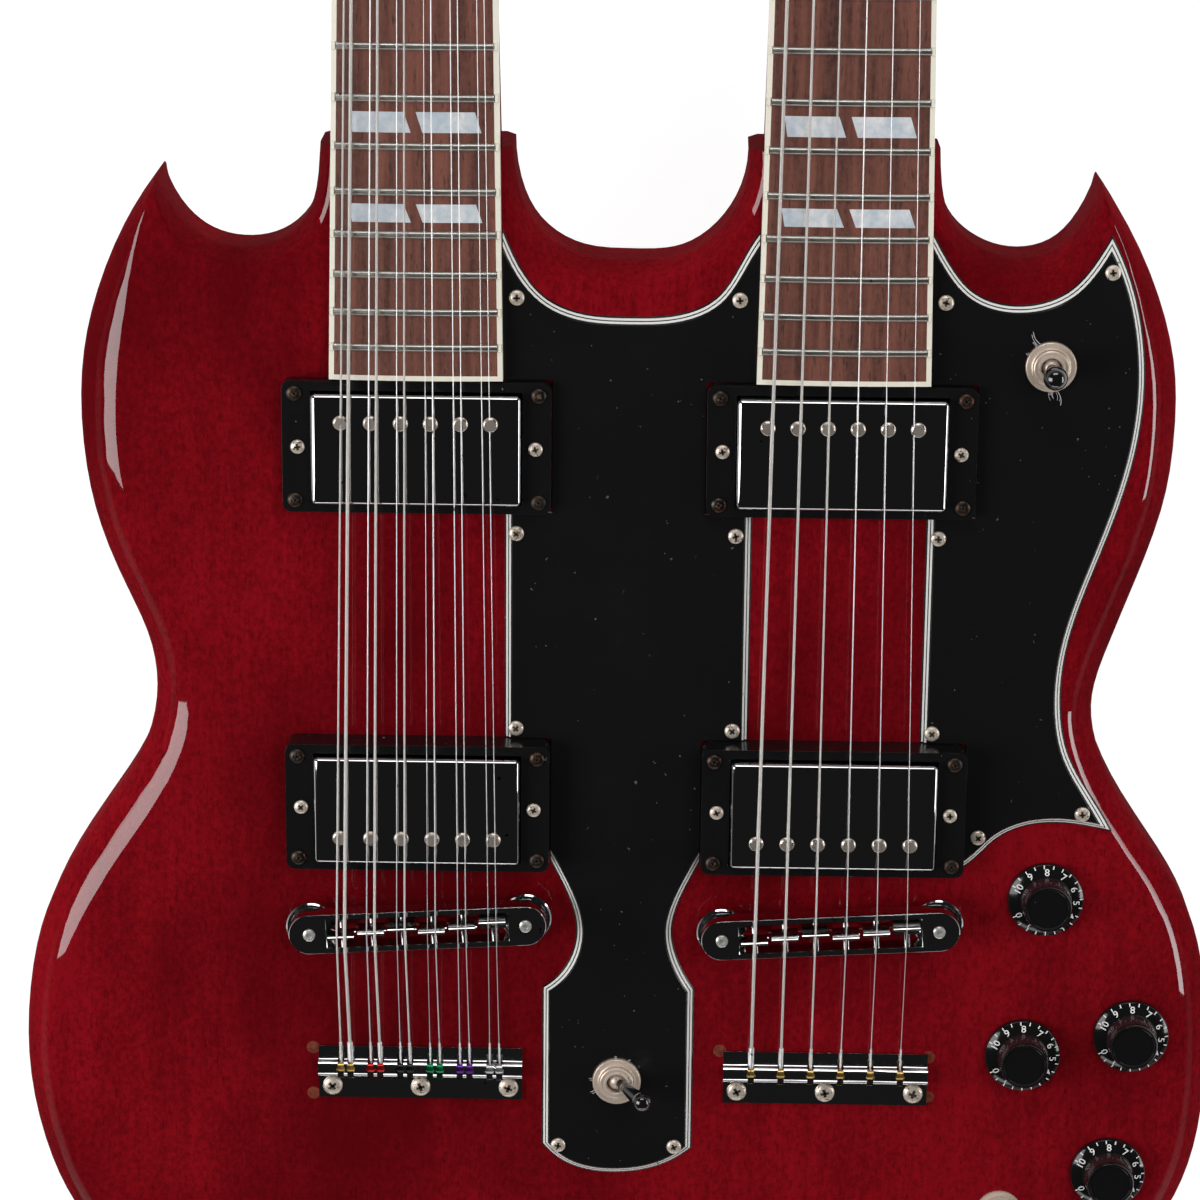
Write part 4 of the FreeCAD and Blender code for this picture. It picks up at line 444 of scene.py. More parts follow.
def finished(bm, name, place=None, outward=True):
    """An edited shape as a mesh, its faces outwards and in its place."""
    if outward:
        bmesh.ops.recalc_face_normals(bm, faces=bm.faces)
    if place is not None:
        bm.transform(place)
    mesh = bpy.data.meshes.new(name)
    bm.to_mesh(mesh)
    bm.free()
    return mesh


def dress(node, material, weighted=False):
    """Give a CAD node its material and smooth its rounded faces."""
    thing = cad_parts[node]
    thing.data.materials.clear()
    thing.data.materials.append(material)
    thing.modifiers.new("rounds", "NODES").node_group = smooth_rounds()
    if weighted:
        level = thing.modifiers.new("flat faces stay flat", "WEIGHTED_NORMAL")
        level.keep_sharp = True
        level.weight = 100


def break_edges(thing, wide, rounds, harden):
    """Join a solid's coplanar triangles and bevel its sharp edges."""
    flat = thing.modifiers.new("whole faces", "DECIMATE")
    flat.decimate_type = "DISSOLVE"
    flat.angle_limit = math.radians(0.5)
    rim = thing.modifiers.new("rounded edges", "BEVEL")
    rim.width = wide
    rim.segments = rounds
    rim.limit_method = "ANGLE"
    rim.angle_limit = math.radians(35)
    rim.harden_normals = harden


def edged(node, material, wide, rounds=2):
    """Dress a CAD node and round off its sharp edges."""
    dress(node, material)
    break_edges(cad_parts[node], wide, rounds, True)


def cut_with(thing, cutter, crossing=False):
    """Subtract one shape from another; crossing says that the cutter overlaps itself."""
    cut = thing.modifiers.new("cut", "BOOLEAN")
    cut.operation = "DIFFERENCE"
    cut.solver = "EXACT"
    cut.use_self = crossing
    cut.object = cutter


def carved_copy(node, cutters, wide):
    """A CAD node's mesh with slots cut out of it and its sharp edges broken."""
    copy = new_piece(node + "_copy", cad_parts[node].data.copy())
    cutter = new_piece(node + "_cutter", joined_mesh(node + "_cutter", cutters))
    copy.modifiers.new("rounds", "NODES").node_group = smooth_rounds()
    cut_with(copy, cutter, True)
    break_edges(copy, wide, 1, False)
    mesh = as_mesh(copy)
    scrap(copy, cutter)
    return mesh


@once("node_groups", "smooth rounds")
def smooth_rounds(name):
    """A geometry tree that joins a CAD mesh's triangles and shades its gentle edges smooth."""
    group, tree, source, sink = geometry_group(name, [("Angle", "Float", math.radians(24))])
    joined = tree.add(
        "GeometryNodeMergeByDistance", Geometry=source["Geometry"], Distance=0.000002
    )
    faces = tree.add("GeometryNodeSetShadeSmooth", {"domain": "FACE"}, Geometry=joined)
    fold = tree.add("GeometryNodeInputMeshEdgeAngle").outputs["Unsigned Angle"]
    gentle = tree.add("FunctionNodeCompare", {"operation": "LESS_THAN", "data_type": "FLOAT"})
    tree.feed(gentle.inputs[0], fold)
    tree.feed(gentle.inputs[1], source["Angle"])
    edges = tree.add(
        "GeometryNodeSetShadeSmooth", {"domain": "EDGE"}, Geometry=faces, Shade_Smooth=gentle
    )
    tree.give(sink, Geometry=edges)
    return group


def loose_parts(node):
    """Each separate solid of a CAD node: its points, in metres."""
    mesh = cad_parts[node].data
    points = np.empty(len(mesh.vertices) * 3)
    mesh.vertices.foreach_get("co", points)
    rounded = np.round(points.reshape(-1, 3), 7)
    unique, index = np.unique(rounded, axis=0, return_inverse=True)
    edges = np.empty(len(mesh.edges) * 2, dtype=int)
    mesh.edges.foreach_get("vertices", edges)
    edges = index.reshape(-1)[edges.reshape(-1, 2)]
    group = np.arange(len(unique))
    while True:
        low = np.minimum(group[edges[:, 0]], group[edges[:, 1]])
        before = group.copy()
        np.minimum.at(group, edges[:, 0], low)
        np.minimum.at(group, edges[:, 1], low)
        group = group[group]
        if (group == before).all():
            return [unique[group == tag] for tag in np.unique(group)]


def corners(points):
    return points.min(axis=0), points.max(axis=0)


def long_axis(points):
    """A part's middle and its longest direction, pointing at its wider end."""
    centre = points.mean(axis=0)
    _values, vectors = np.linalg.eigh(np.cov((points - centre).T))
    axis = vectors[:, 2]
    along = (points - centre) @ axis
    aside = np.linalg.norm(points - centre - np.outer(along, axis), axis=1)
    if along[aside > aside.max() * 0.9].mean() < 0:
        axis, along = -axis, -along
    return centre, axis, along, aside


def spun(angle):
    return Matrix.Rotation(angle, 4, "Z")


def in_scene(name, data):
    thing = bpy.data.objects.new(name, data)
    bpy.context.scene.collection.objects.link(thing)
    return thing


def new_piece(name, mesh, material=None, smooth=0):
    """A finished piece at the origin from a mesh whose place is in its points."""
    piece = in_scene(name, mesh)
    if material is not None:
        mesh.materials.clear()
        mesh.materials.append(material)
    if smooth and len(mesh.polygons):
        mesh.polygons.foreach_set("use_smooth", [True] * len(mesh.polygons))
        mesh.set_sharp_from_angle(angle=math.radians(smooth))
    return piece


def settle(piece, slot, *nodes, on=FIXED):
    """Ride on a body and stand for CAD nodes; the slot is not used."""
    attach(piece, on)
    if nodes:
        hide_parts(*nodes)


def turned_mesh(name, profile, segments=48, place=None):
    """A solid turned about Z from (radius, height) points in millimetres."""
    bm = bmesh.new()
    turns = [2 * math.pi * step / segments for step in range(segments)]
    rings = [
        [bm.verts.new((radius * MM * math.cos(turn), radius * MM * math.sin(turn), height * MM))
         for turn in (turns if radius > 0 else turns[:1])]
        for radius, height in profile
    ]
    for lower, upper in zip(rings, rings[1:]):
        for step in range(segments):
            after = (step + 1) % segments
            ring = [lower[step % len(lower)], lower[after % len(lower)],
                    upper[after % len(upper)], upper[step % len(upper)]]
            corners = list(dict.fromkeys(ring))
            if len(corners) > 2:
                bm.faces.new(corners)
    bmesh.ops.remove_doubles(bm, verts=bm.verts, dist=0.0001 * MM)
    return finished(bm, name, place)


def box_mesh(name, low, high):
    bm = bmesh.new()
    bmesh.ops.create_cube(bm, size=1.0)
    low, high = Vector(low), Vector(high)
    for vert in bm.verts:
        vert.co = Vector(low[i] + (vert.co[i] + 0.5) * (high[i] - low[i]) for i in range(3))
    return finished(bm, name, outward=False)


def joined_mesh(name, meshes):
    bm = bmesh.new()
    for mesh in meshes:
        bm.from_mesh(mesh)
    return finished(bm, name, outward=False)


def named_values(mesh, label, kind, values):
    """Give a mesh's points a named value each, for a geometry tree to read."""
    layer = mesh.attributes.new(label, kind, "POINT")
    key = "value" if kind == "FLOAT" else "vector"
    layer.data.foreach_set(key, np.asarray(values, dtype=float).ravel())


def lines_mesh(name, lines, thick):
    """Open lines whose points carry their line's thickness for a geometry tree."""
    points, edges, spread = [], [], []
    for line, value in zip(lines, thick):
        start = len(points)
        points += [tuple(p) for p in line]
        edges += [(start + i, start + i + 1) for i in range(len(line) - 1)]
        spread += [value] * len(line)
    mesh = bpy.data.meshes.new(name)
    mesh.from_pydata(points, edges, [])
    named_values(mesh, "thick", "FLOAT", spread)
    return mesh


def grown_piece(name, mesh, group, material, smooth=35, **inputs):
    """Run a geometry tree on a mesh and keep the plain mesh it makes."""
    seed = in_scene(name + "_seed", mesh)
    modifier = seed.modifiers.new("grow", "NODES")
    modifier.node_group = group
    for item in group.interface.items_tree:
        if item.item_type != "SOCKET" or item.in_out != "INPUT":
            continue
        key = item.name.lower()
        if item.socket_type == "NodeSocketMaterial":
            modifier[item.identifier] = material
        elif key in inputs:
            modifier[item.identifier] = inputs[key]
    made = as_mesh(seed)
    seed.modifiers.clear()
    scrap(seed)
    if not len(made.polygons):
        raise RuntimeError(f"{name} came out empty")
    made.name = name
    return new_piece(name, made, material, smooth)


@once("node_groups", "placed copies")
def placing_tree(name):
    """Copies of one shape on points, each turned to its axis, spun and scaled."""
    group, tree, source, sink = geometry_group(
        name, [("Shape", "Object", None), ("Material", "Material", None)]
    )
    shape = tree.add("GeometryNodeObjectInfo", Object=source["Shape"]).outputs["Geometry"]
    axis, spin, size = (
        tree.add("GeometryNodeInputNamedAttribute", {"data_type": kind}, Name=label)
        for label, kind in (("axis", "FLOAT_VECTOR"), ("spin", "FLOAT"), ("size", "FLOAT"))
    )
    lean = tree.add("FunctionNodeAlignRotationToVector", {"axis": "Z"}, Vector=axis)
    turn = tree.add("FunctionNodeAxisAngleToRotation", Angle=spin)
    both = tree.add("FunctionNodeRotateRotation", {"rotation_space": "LOCAL"})
    tree.feed(both.inputs[0], lean)
    tree.feed(both.inputs[1], turn)
    copies = tree.add("GeometryNodeInstanceOnPoints", Points=source["Geometry"],
                      Instance=shape, Rotation=both, Scale=size)
    tree.painted(sink, copies, source["Material"])
    return group


@once("node_groups", "round wire")
def wire_tree(name):
    """Round wire along lines, as thick as each line's own value."""
    group, tree, source, sink = geometry_group(
        name, [("Sides", "Int", 8), ("Material", "Material", None)]
    )
    line = tree.add("GeometryNodeMeshToCurve", Mesh=source["Geometry"])
    thick = tree.add("GeometryNodeInputNamedAttribute", {"data_type": "FLOAT"}, Name="thick")
    ring = tree.add("GeometryNodeCurvePrimitiveCircle", Resolution=source["Sides"], Radius=1.0)
    tube = tree.add("GeometryNodeCurveToMesh", Curve=line, Profile_Curve=ring, Scale=thick,
                    Fill_Caps=True)
    tree.painted(sink, tube, source["Material"])
    return group


def copies_of(name, shape, places, material, smooth=35):
    """One piece made of copies of a shape at (point, axis, spin, size) places."""
    points, axes, spins, scales = zip(*places)
    seed = bpy.data.meshes.new(name + "_points")
    seed.from_pydata([tuple(p) for p in points], [], [])
    named_values(seed, "axis", "FLOAT_VECTOR", axes)
    named_values(seed, "spin", "FLOAT", spins)
    named_values(seed, "size", "FLOAT", scales)
    return grown_piece(name, seed, placing_tree(), material, smooth, shape=shape)


def scrap(*things):
    """Remove shapes that only served as patterns."""
    for thing in things:
        bpy.data.objects.remove(thing)


# Stage


class GUITAR_OT_stage(bpy.types.Operator):
    """Pale floor, soft studio lamps and the photograph's camera"""

    bl_idname = "guitar.stage"
    bl_label = "Stage"

    TARGET = Vector((0, 0.1, 0.03))
    # The camera fitted to the photograph: its place in millimetres, its view and its roll
    EYE = (12.555, 487.995, 1309.75)
    AHEAD = (-0.01643, -0.28423, -0.95862)
    SIDE = (0.99985, 0.0, -0.01714)
    ROLL = 0.481

    def lamp(self, name, place, across, down, power, glossy=True):
        data = bpy.data.lights.new(name, "AREA")
        data.shape = "RECTANGLE"
        data.size, data.size_y = across, down
        data.energy = power
        lamp = in_scene(name, data)
        lamp.location = place
        aim = self.TARGET - Vector(place)
        lamp.rotation_euler = aim.to_track_quat("-Z", "Y").to_euler()
        lamp.visible_camera = False
        lamp.visible_glossy = glossy

    def backdrop(self, name, strength):
        """A matt floor that cameras and mirrors see as an even pale glow."""
        material = bpy.data.materials.new(name)
        material.use_nodes = True
        material.node_tree.nodes.clear()
        tree = Tree(material.node_tree)
        path = tree.add("ShaderNodeLightPath").outputs
        seen = tree.maths("ADD", path["Is Camera Ray"], path["Is Glossy Ray"])
        seen = tree.maths("ADD", seen, path["Is Transmission Ray"])
        glow = tree.add("ShaderNodeEmission", Strength=strength, Color=(1, 1, 1))
        matte = tree.add("ShaderNodeBsdfDiffuse", Color=(0.8, 0.8, 0.8))
        shade = tree.add("ShaderNodeBsdfDiffuse", Color=(0.25, 0.25, 0.25))
        mixed, both = tree.add("ShaderNodeMixShader"), tree.add("ShaderNodeAddShader")
        out = tree.add("ShaderNodeOutputMaterial")
        for socket, value in (
            (mixed.inputs[0], tree.maths("MINIMUM", seen, 1.0)), (mixed.inputs[1], matte),
            (mixed.inputs[2], glow), (both.inputs[0], mixed), (both.inputs[1], shade),
            (out.inputs[0], both),
        ):
            tree.feed(socket, value)
        return material

    def execute(self, context):
        scene = context.scene
        scene.view_settings.view_transform = "Standard"
        drop = -sizes().floor_drop
        mesh = bpy.data.meshes.new("floor")
        reach = 6.0
        mesh.from_pydata(
            [(-reach, -reach, drop), (reach, -reach, drop), (reach, reach, drop),
             (-reach, reach, drop)], [], [(0, 1, 2, 3)],
        )
        floor = new_piece("floor", mesh, self.backdrop("pale floor", 0.9), 0)
        world = bpy.data.worlds.new("studio")
        scene.world = world
        world.use_nodes = True
        tree = Tree(world.node_tree)
        back = next(n for n in tree.tree.nodes if n.type == "BACKGROUND")
        path = tree.add("ShaderNodeLightPath").outputs
        height = tree.split(tree.add("ShaderNodeTexCoord").outputs["Generated"])["Z"]
        glow = tree.band(height, 0.0, 0.55, 0.42, 0.03)
        mirrored = tree.band(height, 0.0, 0.3, 0.55, 0.012)
        room = tree.blend(path["Is Glossy Ray"], glow, mirrored)
        seen = tree.blend(path["Is Camera Ray"], room, (0.97, 0.97, 0.97))
        tree.give(back, Color=seen, Strength=1.0)
        self.lamp("left softbox", (-1.02, 0.1, 0.86), 0.72, 0.9, 12)
        self.lamp("right softbox", (1.25, 0.1, 0.52), 0.9, 0.2, 4.5)
        self.lamp("top softbox", (0.0, 1.5, 0.9), 1.1, 0.42, 7)
        self.lamp("low softbox", (0.0, -1.5, 0.55), 1.4, 0.25, 3)
        self.lamp("overhead", (0.7, 0.7, 1.6), 0.9, 0.9, 11, glossy=False)
        self.camera(scene)
        return {"FINISHED"}

    def camera(self, scene):
        data = bpy.data.cameras.new("photograph")
        camera = scene.camera = in_scene("photograph", data)
        data.sensor_width = 36.0
        data.lens = sizes().camera_lens
        data.clip_start, data.clip_end = 0.01, 50.0
        ahead = Vector(self.AHEAD).normalized()
        side = Vector(self.SIDE).normalized()
        rise = side.cross(ahead)
        roll = math.radians(self.ROLL)
        right = side * math.cos(roll) + rise * math.sin(roll)
        up = rise * math.cos(roll) - side * math.sin(roll)
        turn = Matrix((right, up, -ahead)).transposed().to_4x4()
        turn.translation = Vector(self.EYE) * MM
        camera.matrix_world = turn


# Wood


class GUITAR_OT_wood(bpy.types.Operator):
    """Cherry body and necks, black headplates and the plugs by the tailpieces"""

    bl_idname = "guitar.wood"
    bl_label = "Wood"

    # The filled holes' places and their disc's (radius, height) profile, in millimetres
    PLUGS = ((33.7, -53.1), (106.4, -54.4), (106.4, -69.3), (-108.0, -54.0), (-108.0, -71.2))
    DISC = ((0, 0.02), (2.1, 0.02), (2.5, -0.02), (0, -0.02))

    def execute(self, context):
        for node in ("body", "neck_12", "neck_6"):
            dress(node, cherry_wood(), node == "body")
        dress("headplates", black_plastic("black lacquer", 0.08, Coat_Weight=1.0,
                                          Coat_Roughness=0.03))
        dress("truss_rods", plated_metal("rod steel", (0.35, 0.35, 0.36), 0.3))
        dress("truss_covers", black_plastic("cover black", 0.12))
        dress("control_cover", plain_plastic("cover matt black", (0.012, 0.012, 0.012), 0.45))
        self.plugs()
        return {"FINISHED"}

    def plugs(self):
        """Filled screw holes half under the tailpieces' ends."""
        material, tree, shader, place = new_material(
            "filled holes", Specular_IOR_Level=0.3, Roughness=0.5
        )
        cloud = tree.band(tree.noise(place, 900.0), 0.35, 0.65)
        tree.give(
            shader, Base_Color=tree.blend(cloud, (0.10, 0.018, 0.010), (0.20, 0.040, 0.020))
        )
        places = [
            (Vector((x * MM, y * MM, BODY_FACE)), (0, 0, 1), 0.7 * n, 1.0)
            for n, (x, y) in enumerate(self.PLUGS)
        ]
        disc = new_piece("plug_shape", turned_mesh("plug_shape", self.DISC, 20))
        piece = copies_of("filled_holes", disc, places, material)
        scrap(disc)
        settle(piece, "cherry_wood")


class GUITAR_OT_boards(bpy.types.Operator):
    """Rosewood boards with their binding, frets, inlays and nuts"""

    bl_idname = "guitar.boards"
    bl_label = "Boards"

    def execute(self, context):
        for node in ("fretboard_12", "fretboard_6"):
            dress(node, rosewood())
        dress("bindings", plain_plastic("binding", tinted("binding"), 0.22,
                                        (0.45, 0.38, 0.27), 0.78))
        dress("frets", plated_metal("fret nickel", (0.50, 0.48, 0.44), 0.34, 0.1))
        dress("inlays", pearl())
        dress("nuts", plain_plastic("nut white", (0.78, 0.75, 0.66), 0.3, (0.5, 0.45, 0.35)))
        self.nibs()
        return {"FINISHED"}

    def nibs(self):
        """Small ends of the binding that cover the ends of each fret."""
        profile = bmesh.new()
        bmesh.ops.create_cube(profile, size=1.0)
        for vert in profile.verts:
            inward = 1.0 if vert.co.z < 0 else 0.72
            vert.co = Vector((vert.co.x * 1.25 * inward, vert.co.y * 3.0 * inward,
                              -0.15 if vert.co.z < 0 else 0.8)) * MM
        bmesh.ops.bevel(profile, geom=profile.edges[:], offset=0.12 * MM, segments=1)
        shape = new_piece("nib_shape", finished(profile, "nib_shape", outward=False))
        places = []
        for points in loose_parts("frets"):
            for end, way in ((points[:, 0].min(), -1), (points[:, 0].max(), 1)):
                last = points[np.abs(points[:, 0] - end) < 0.1 * MM]
                middle = sum(corners(last)) / 2
                spot = Vector((end + way * 0.7 * MM, middle[1], last[:, 2].min()))
                places.append((spot, (way * 0.08, 0.0, 1.0), 0.0, 1.0))
        piece = copies_of("binding_nibs", shape, places, bpy.data.materials["binding"], 0)
        scrap(shape)
        settle(piece, "cream_binding")


class GUITAR_OT_guards(bpy.types.Operator):
    """Five-ply black guards"""

    bl_idname = "guitar.guards"
    bl_label = "Guards"

    def execute(self, context):
        for node in ("pickguard_center", "pickguard_treble"):
            dress(node, guard_plastic())
        return {"FINISHED"}


class GUITAR_OT_pickups(bpy.types.Operator):
    """Chrome covers with their pole screws in black rings"""

    bl_idname = "guitar.pickups"
    bl_label = "Pickups"

    def execute(self, context):
        edged("pickup_rings", black_plastic("ring black", 0.16), 0.5 * MM)
        edged("pickup_covers", plated_metal("cover chrome", tinted("chrome"), 0.03, 0.03),
              1.5 * MM, rounds=4)
        dress("pickup_cores", plain_plastic("core black", (0.02, 0.02, 0.02), 0.5))
        return {"FINISHED"}


def ringed_mesh(name, rings, place):
    """A closed band through rings of equally many points, in millimetres."""
    bm = bmesh.new()
    rows = [[bm.verts.new(Vector(point) * MM) for point in ring] for ring in rings]
    for lower, upper in zip(rows, rows[1:] + rows[:1]):
        for step in range(len(lower)):
            after = (step + 1) % len(lower)
            bm.faces.new((lower[step], lower[after], upper[after], upper[step]))
    bmesh.ops.remove_doubles(bm, verts=bm.verts, dist=0.001 * MM)
    return finished(bm, name, place)


def straight_mesh(name, section, low, high, place):
    """A straight bar along X with a (y, z) section, in millimetres."""
    bm = bmesh.new()
    ends = [[bm.verts.new(Vector((x, y, z)) * MM) for y, z in section] for x in (low, high)]
    for end in ends:
        bm.faces.new(end)
    for step in range(len(section)):
        after = (step + 1) % len(section)
        bm.faces.new((ends[0][step], ends[0][after], ends[1][after], ends[1][step]))
    return finished(bm, name, place)


class GUITAR_OT_bridges(bpy.types.Operator):
    """Chrome bridges with their saddles and the slotted tailpieces"""

    bl_idname = "guitar.bridges"
    bl_label = "Bridges and tailpieces"

    # Half sizes of the bar's window, the bar and a saddle, in millimetres
    WINDOW = (31.1, 5.0)
    HALF_WIDE = 7.1
    SADDLE = 4.5

    def bar(self, name, place, half, tall):
        """A bar with round ends past its posts and an open window for the saddles."""
        def ends(inset, level):
            ring = []
            for step in range(48):
                angle = 2 * math.pi * (step + 0.5) / 48
                middle = math.copysign(half, math.cos(angle))
                reach = self.HALF_WIDE - inset
                ring.append((middle + reach * math.cos(angle), reach * math.sin(angle), level))
            return ring

        def window(extra, level):
            wide, deep = self.WINDOW[0] + extra, self.WINDOW[1] + extra
            return [
                (max(-wide, min(wide, x)), max(-deep, min(deep, y)), level)
                for x, y, _z in ends(0.0, level)
            ]

        rings = [
            ends(0.5, 0.0), ends(0.0, 0.5), ends(0.0, tall - 0.6), ends(0.06, tall - 0.2),
            ends(0.26, tall), window(0.2, tall), window(0.0, tall - 0.22), window(0.0, 0.0),
        ]
        return ringed_mesh(name, rings, place)

    def wheel(self, post, deep):
        """A post with its thumbwheel, from its foot to the bar."""
        return turned_mesh("wheel", [
            (0, deep), (3.0, deep), (3.0, -2.4), (8.15, -2.4), (8.6, -2.0), (8.6, -0.45),
            (8.15, -0.02), (3.0, -0.02), (3.0, 0.5), (0, 0.5),
        ], 64, post)

    def post_top(self, post, tall):
        """A post's hollow head over the bar."""
        return turned_mesh("post_top", [
            (0, tall - 0.2), (2.1, tall - 0.2), (2.1, tall + 0.45), (1.95, tall + 0.8),
            (1.6, tall + 1.0), (0.95, tall + 1.0), (0.9, tall + 0.2), (0, tall + 0.2),
        ], 32, post)

    def saddle_screw(self, place, x, level):
        """A saddle's screw, lying along the strings."""
        return turned_mesh("saddle_screw", [
            (0, 0), (1.1, 0), (1.5, 0.3), (1.5, 0.6), (1.0, 0.6), (1.0, 12.8), (0, 12.8),
        ], 20, place @ Matrix.Translation((x, -7.6 * MM, level))
            @ Matrix.Rotation(-math.pi / 2, 4, "X"))

    def tailpieces(self, chrome):
        """The tailpieces with a slot in the roll for every ball end."""
        cutters = []
        for points in loose_parts("ball_ends"):
            low, high = corners(points)
            middle = (low + high) / 2
            cutters.append(box_mesh(
                "slot", (middle[0] - 1.1 * MM, middle[1] - 4.4 * MM, low[2] + 0.6 * MM),
                (middle[0] + 1.1 * MM, middle[1] + 5.2 * MM, high[2] + 12 * MM),
            ))
        mesh = carved_copy("tailpieces", cutters, 0.45 * MM)
        piece = new_piece("tailpiece_plates", mesh, chrome, 22)
        settle(piece, "chrome", "tailpieces")

    def saddle(self, name, place, x, y, crest, half_wide):
        """A saddle's wedge with a narrow two-edged crest."""
        section = [
            (y + 1.5, 1.0), (y + 1.5, crest - 3.4), (y + 0.44, crest - 0.16), (y + 0.25, crest),
            (y - 0.25, crest), (y - 0.44, crest - 0.18), (y - 1.9, crest - 3.4), (y - 1.9, 1.0),
        ]
        return straight_mesh(name, section, x - half_wide, x + half_wide, place)

    def execute(self, context):
        chrome = plated_metal("bridge chrome", tinted("chrome"), 0.07)
        bright = plated_metal("saddle chrome", (0.66, 0.65, 0.64), 0.1)
        silvery = plated_metal("post nickel", (0.74, 0.72, 0.69), 0.22, metallic=0.65)
        self.tailpieces(chrome)
        low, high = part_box("bridge_bases")
        foot, tall = low.z, (high.z - low.z) / MM
        middles = sorted(
            (tuple(sum(corners(points)) / 2) for points in loose_parts("bridge_posts")),
            key=lambda item: item[0],
        )
        saddles = [corners(points) for points in loose_parts("saddles")]
        bars, tops, crests, screws = [], [], [], []
        for first, last in (middles[:2], middles[2:]):
            one, two = Vector(first), Vector(last)
            across = two - one
            lean = math.atan2(across.y, across.x)
            centre = (one + two) / 2
            place = Matrix.Translation((centre.x, centre.y, foot)) @ spun(lean)
            half = across.length / 2 / MM
            bars.append(self.bar("bar", place, half, tall))
            deep = (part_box("bridge_posts")[0].z - foot) / MM
            for side in (-half, half):
                post = place @ Matrix.Translation((side * MM, 0, 0))
                bars.append(self.wheel(post, deep))
                tops.append(self.post_top(post, tall))
            inverse = place.inverted()
            for lowest, highest in saddles:
                spot = inverse @ Vector((lowest + highest) / 2)
                if abs(spot.x / MM) > half:
                    continue
                crest = (highest[2] - foot) / MM
                x, y = spot.x / MM, spot.y / MM
                crests.append(self.saddle("saddle", place, x, y, crest, self.SADDLE))
                screws.append(self.saddle_screw(place, spot.x, tall * 0.5 * MM))
        for name, meshes, material, nodes in (
            ("bridge_bars", bars, chrome, ("bridge_bases", "bridge_posts")),
            ("bridge_post_tops", tops, silvery, ()),
            ("saddle_wedges", crests + screws, bright, ("saddles",)),
        ):
            piece = new_piece(name, joined_mesh(name, meshes), material, 30)
            settle(piece, "chrome", *nodes)
        return {"FINISHED"}


def screw_head(name, tall, recess, turns, slot):
    """A domed screw head of 1 mm radius with recesses at some turns, its seat at the origin."""
    profile = [
        (0, 0), (1.0, 0), (1.0, tall * 0.3), (0.9, tall * 0.62), (0.66, tall * 0.86),
        (0.34, tall * 0.97), (0, tall),
    ]
    head = new_piece(name, turned_mesh(name, profile, 24))
    arms = []
    for turn in turns:
        bm = bmesh.new()
        bmesh.ops.create_cube(bm, size=2.0)
        for vert in bm.verts:
            wide = 1.0 if vert.co.z > 0 else 0.45
            vert.co = Vector((
                vert.co.x * recess * wide * MM, vert.co.y * slot * MM,
                (tall * 0.25 if vert.co.z < 0 else tall * 1.4) * MM,
            ))
        arm = f"{name}_arm_{turn}"
        spin = spun(math.radians(turn))
        arms.append(new_piece(arm, finished(bm, arm, spin, outward=False)))
    for cutter in arms:
        cut_with(head, cutter)
    mesh = as_mesh(head)
    scrap(head, *arms)
    return new_piece(name + "_cut", mesh)


def recess_fill(name, tall, reach, turns, slot):
    """Painted shade: a dark block in the bottom of a screw's recess, where shade falls."""
    bars = []
    for turn in turns:
        bar = box_mesh("fill_bar", (-reach * MM, -slot * MM, tall * 0.2 * MM),
                       (reach * MM, slot * MM, tall * 0.66 * MM))
        bar.transform(spun(math.radians(turn)))
        bars.append(bar)
    return new_piece(name, joined_mesh(name, bars))


def screw_places(node, spread):
    """Where each screw's head sits: its seat, axis, spin and head size."""
    chance = random.Random(spread)
    places = []
    for points in loose_parts(node):
        if node == "pole_screws":
            low, high = corners(points)
            middle = (low + high) / 2
            seat = (middle[0], middle[1], high[2] - 0.4 * MM)
            places.append((seat, (0, 0, 1), chance.uniform(-0.9, 0.9), (high - low)[0] / 2 / MM))
            continue
        centre, axis, along, aside = long_axis(points)
        radius = aside.max()
        rim = along[aside > radius * 0.97]
        seat = centre + axis * rim.min()
        places.append((seat, tuple(axis), chance.uniform(0, math.pi), radius / MM))
    return places


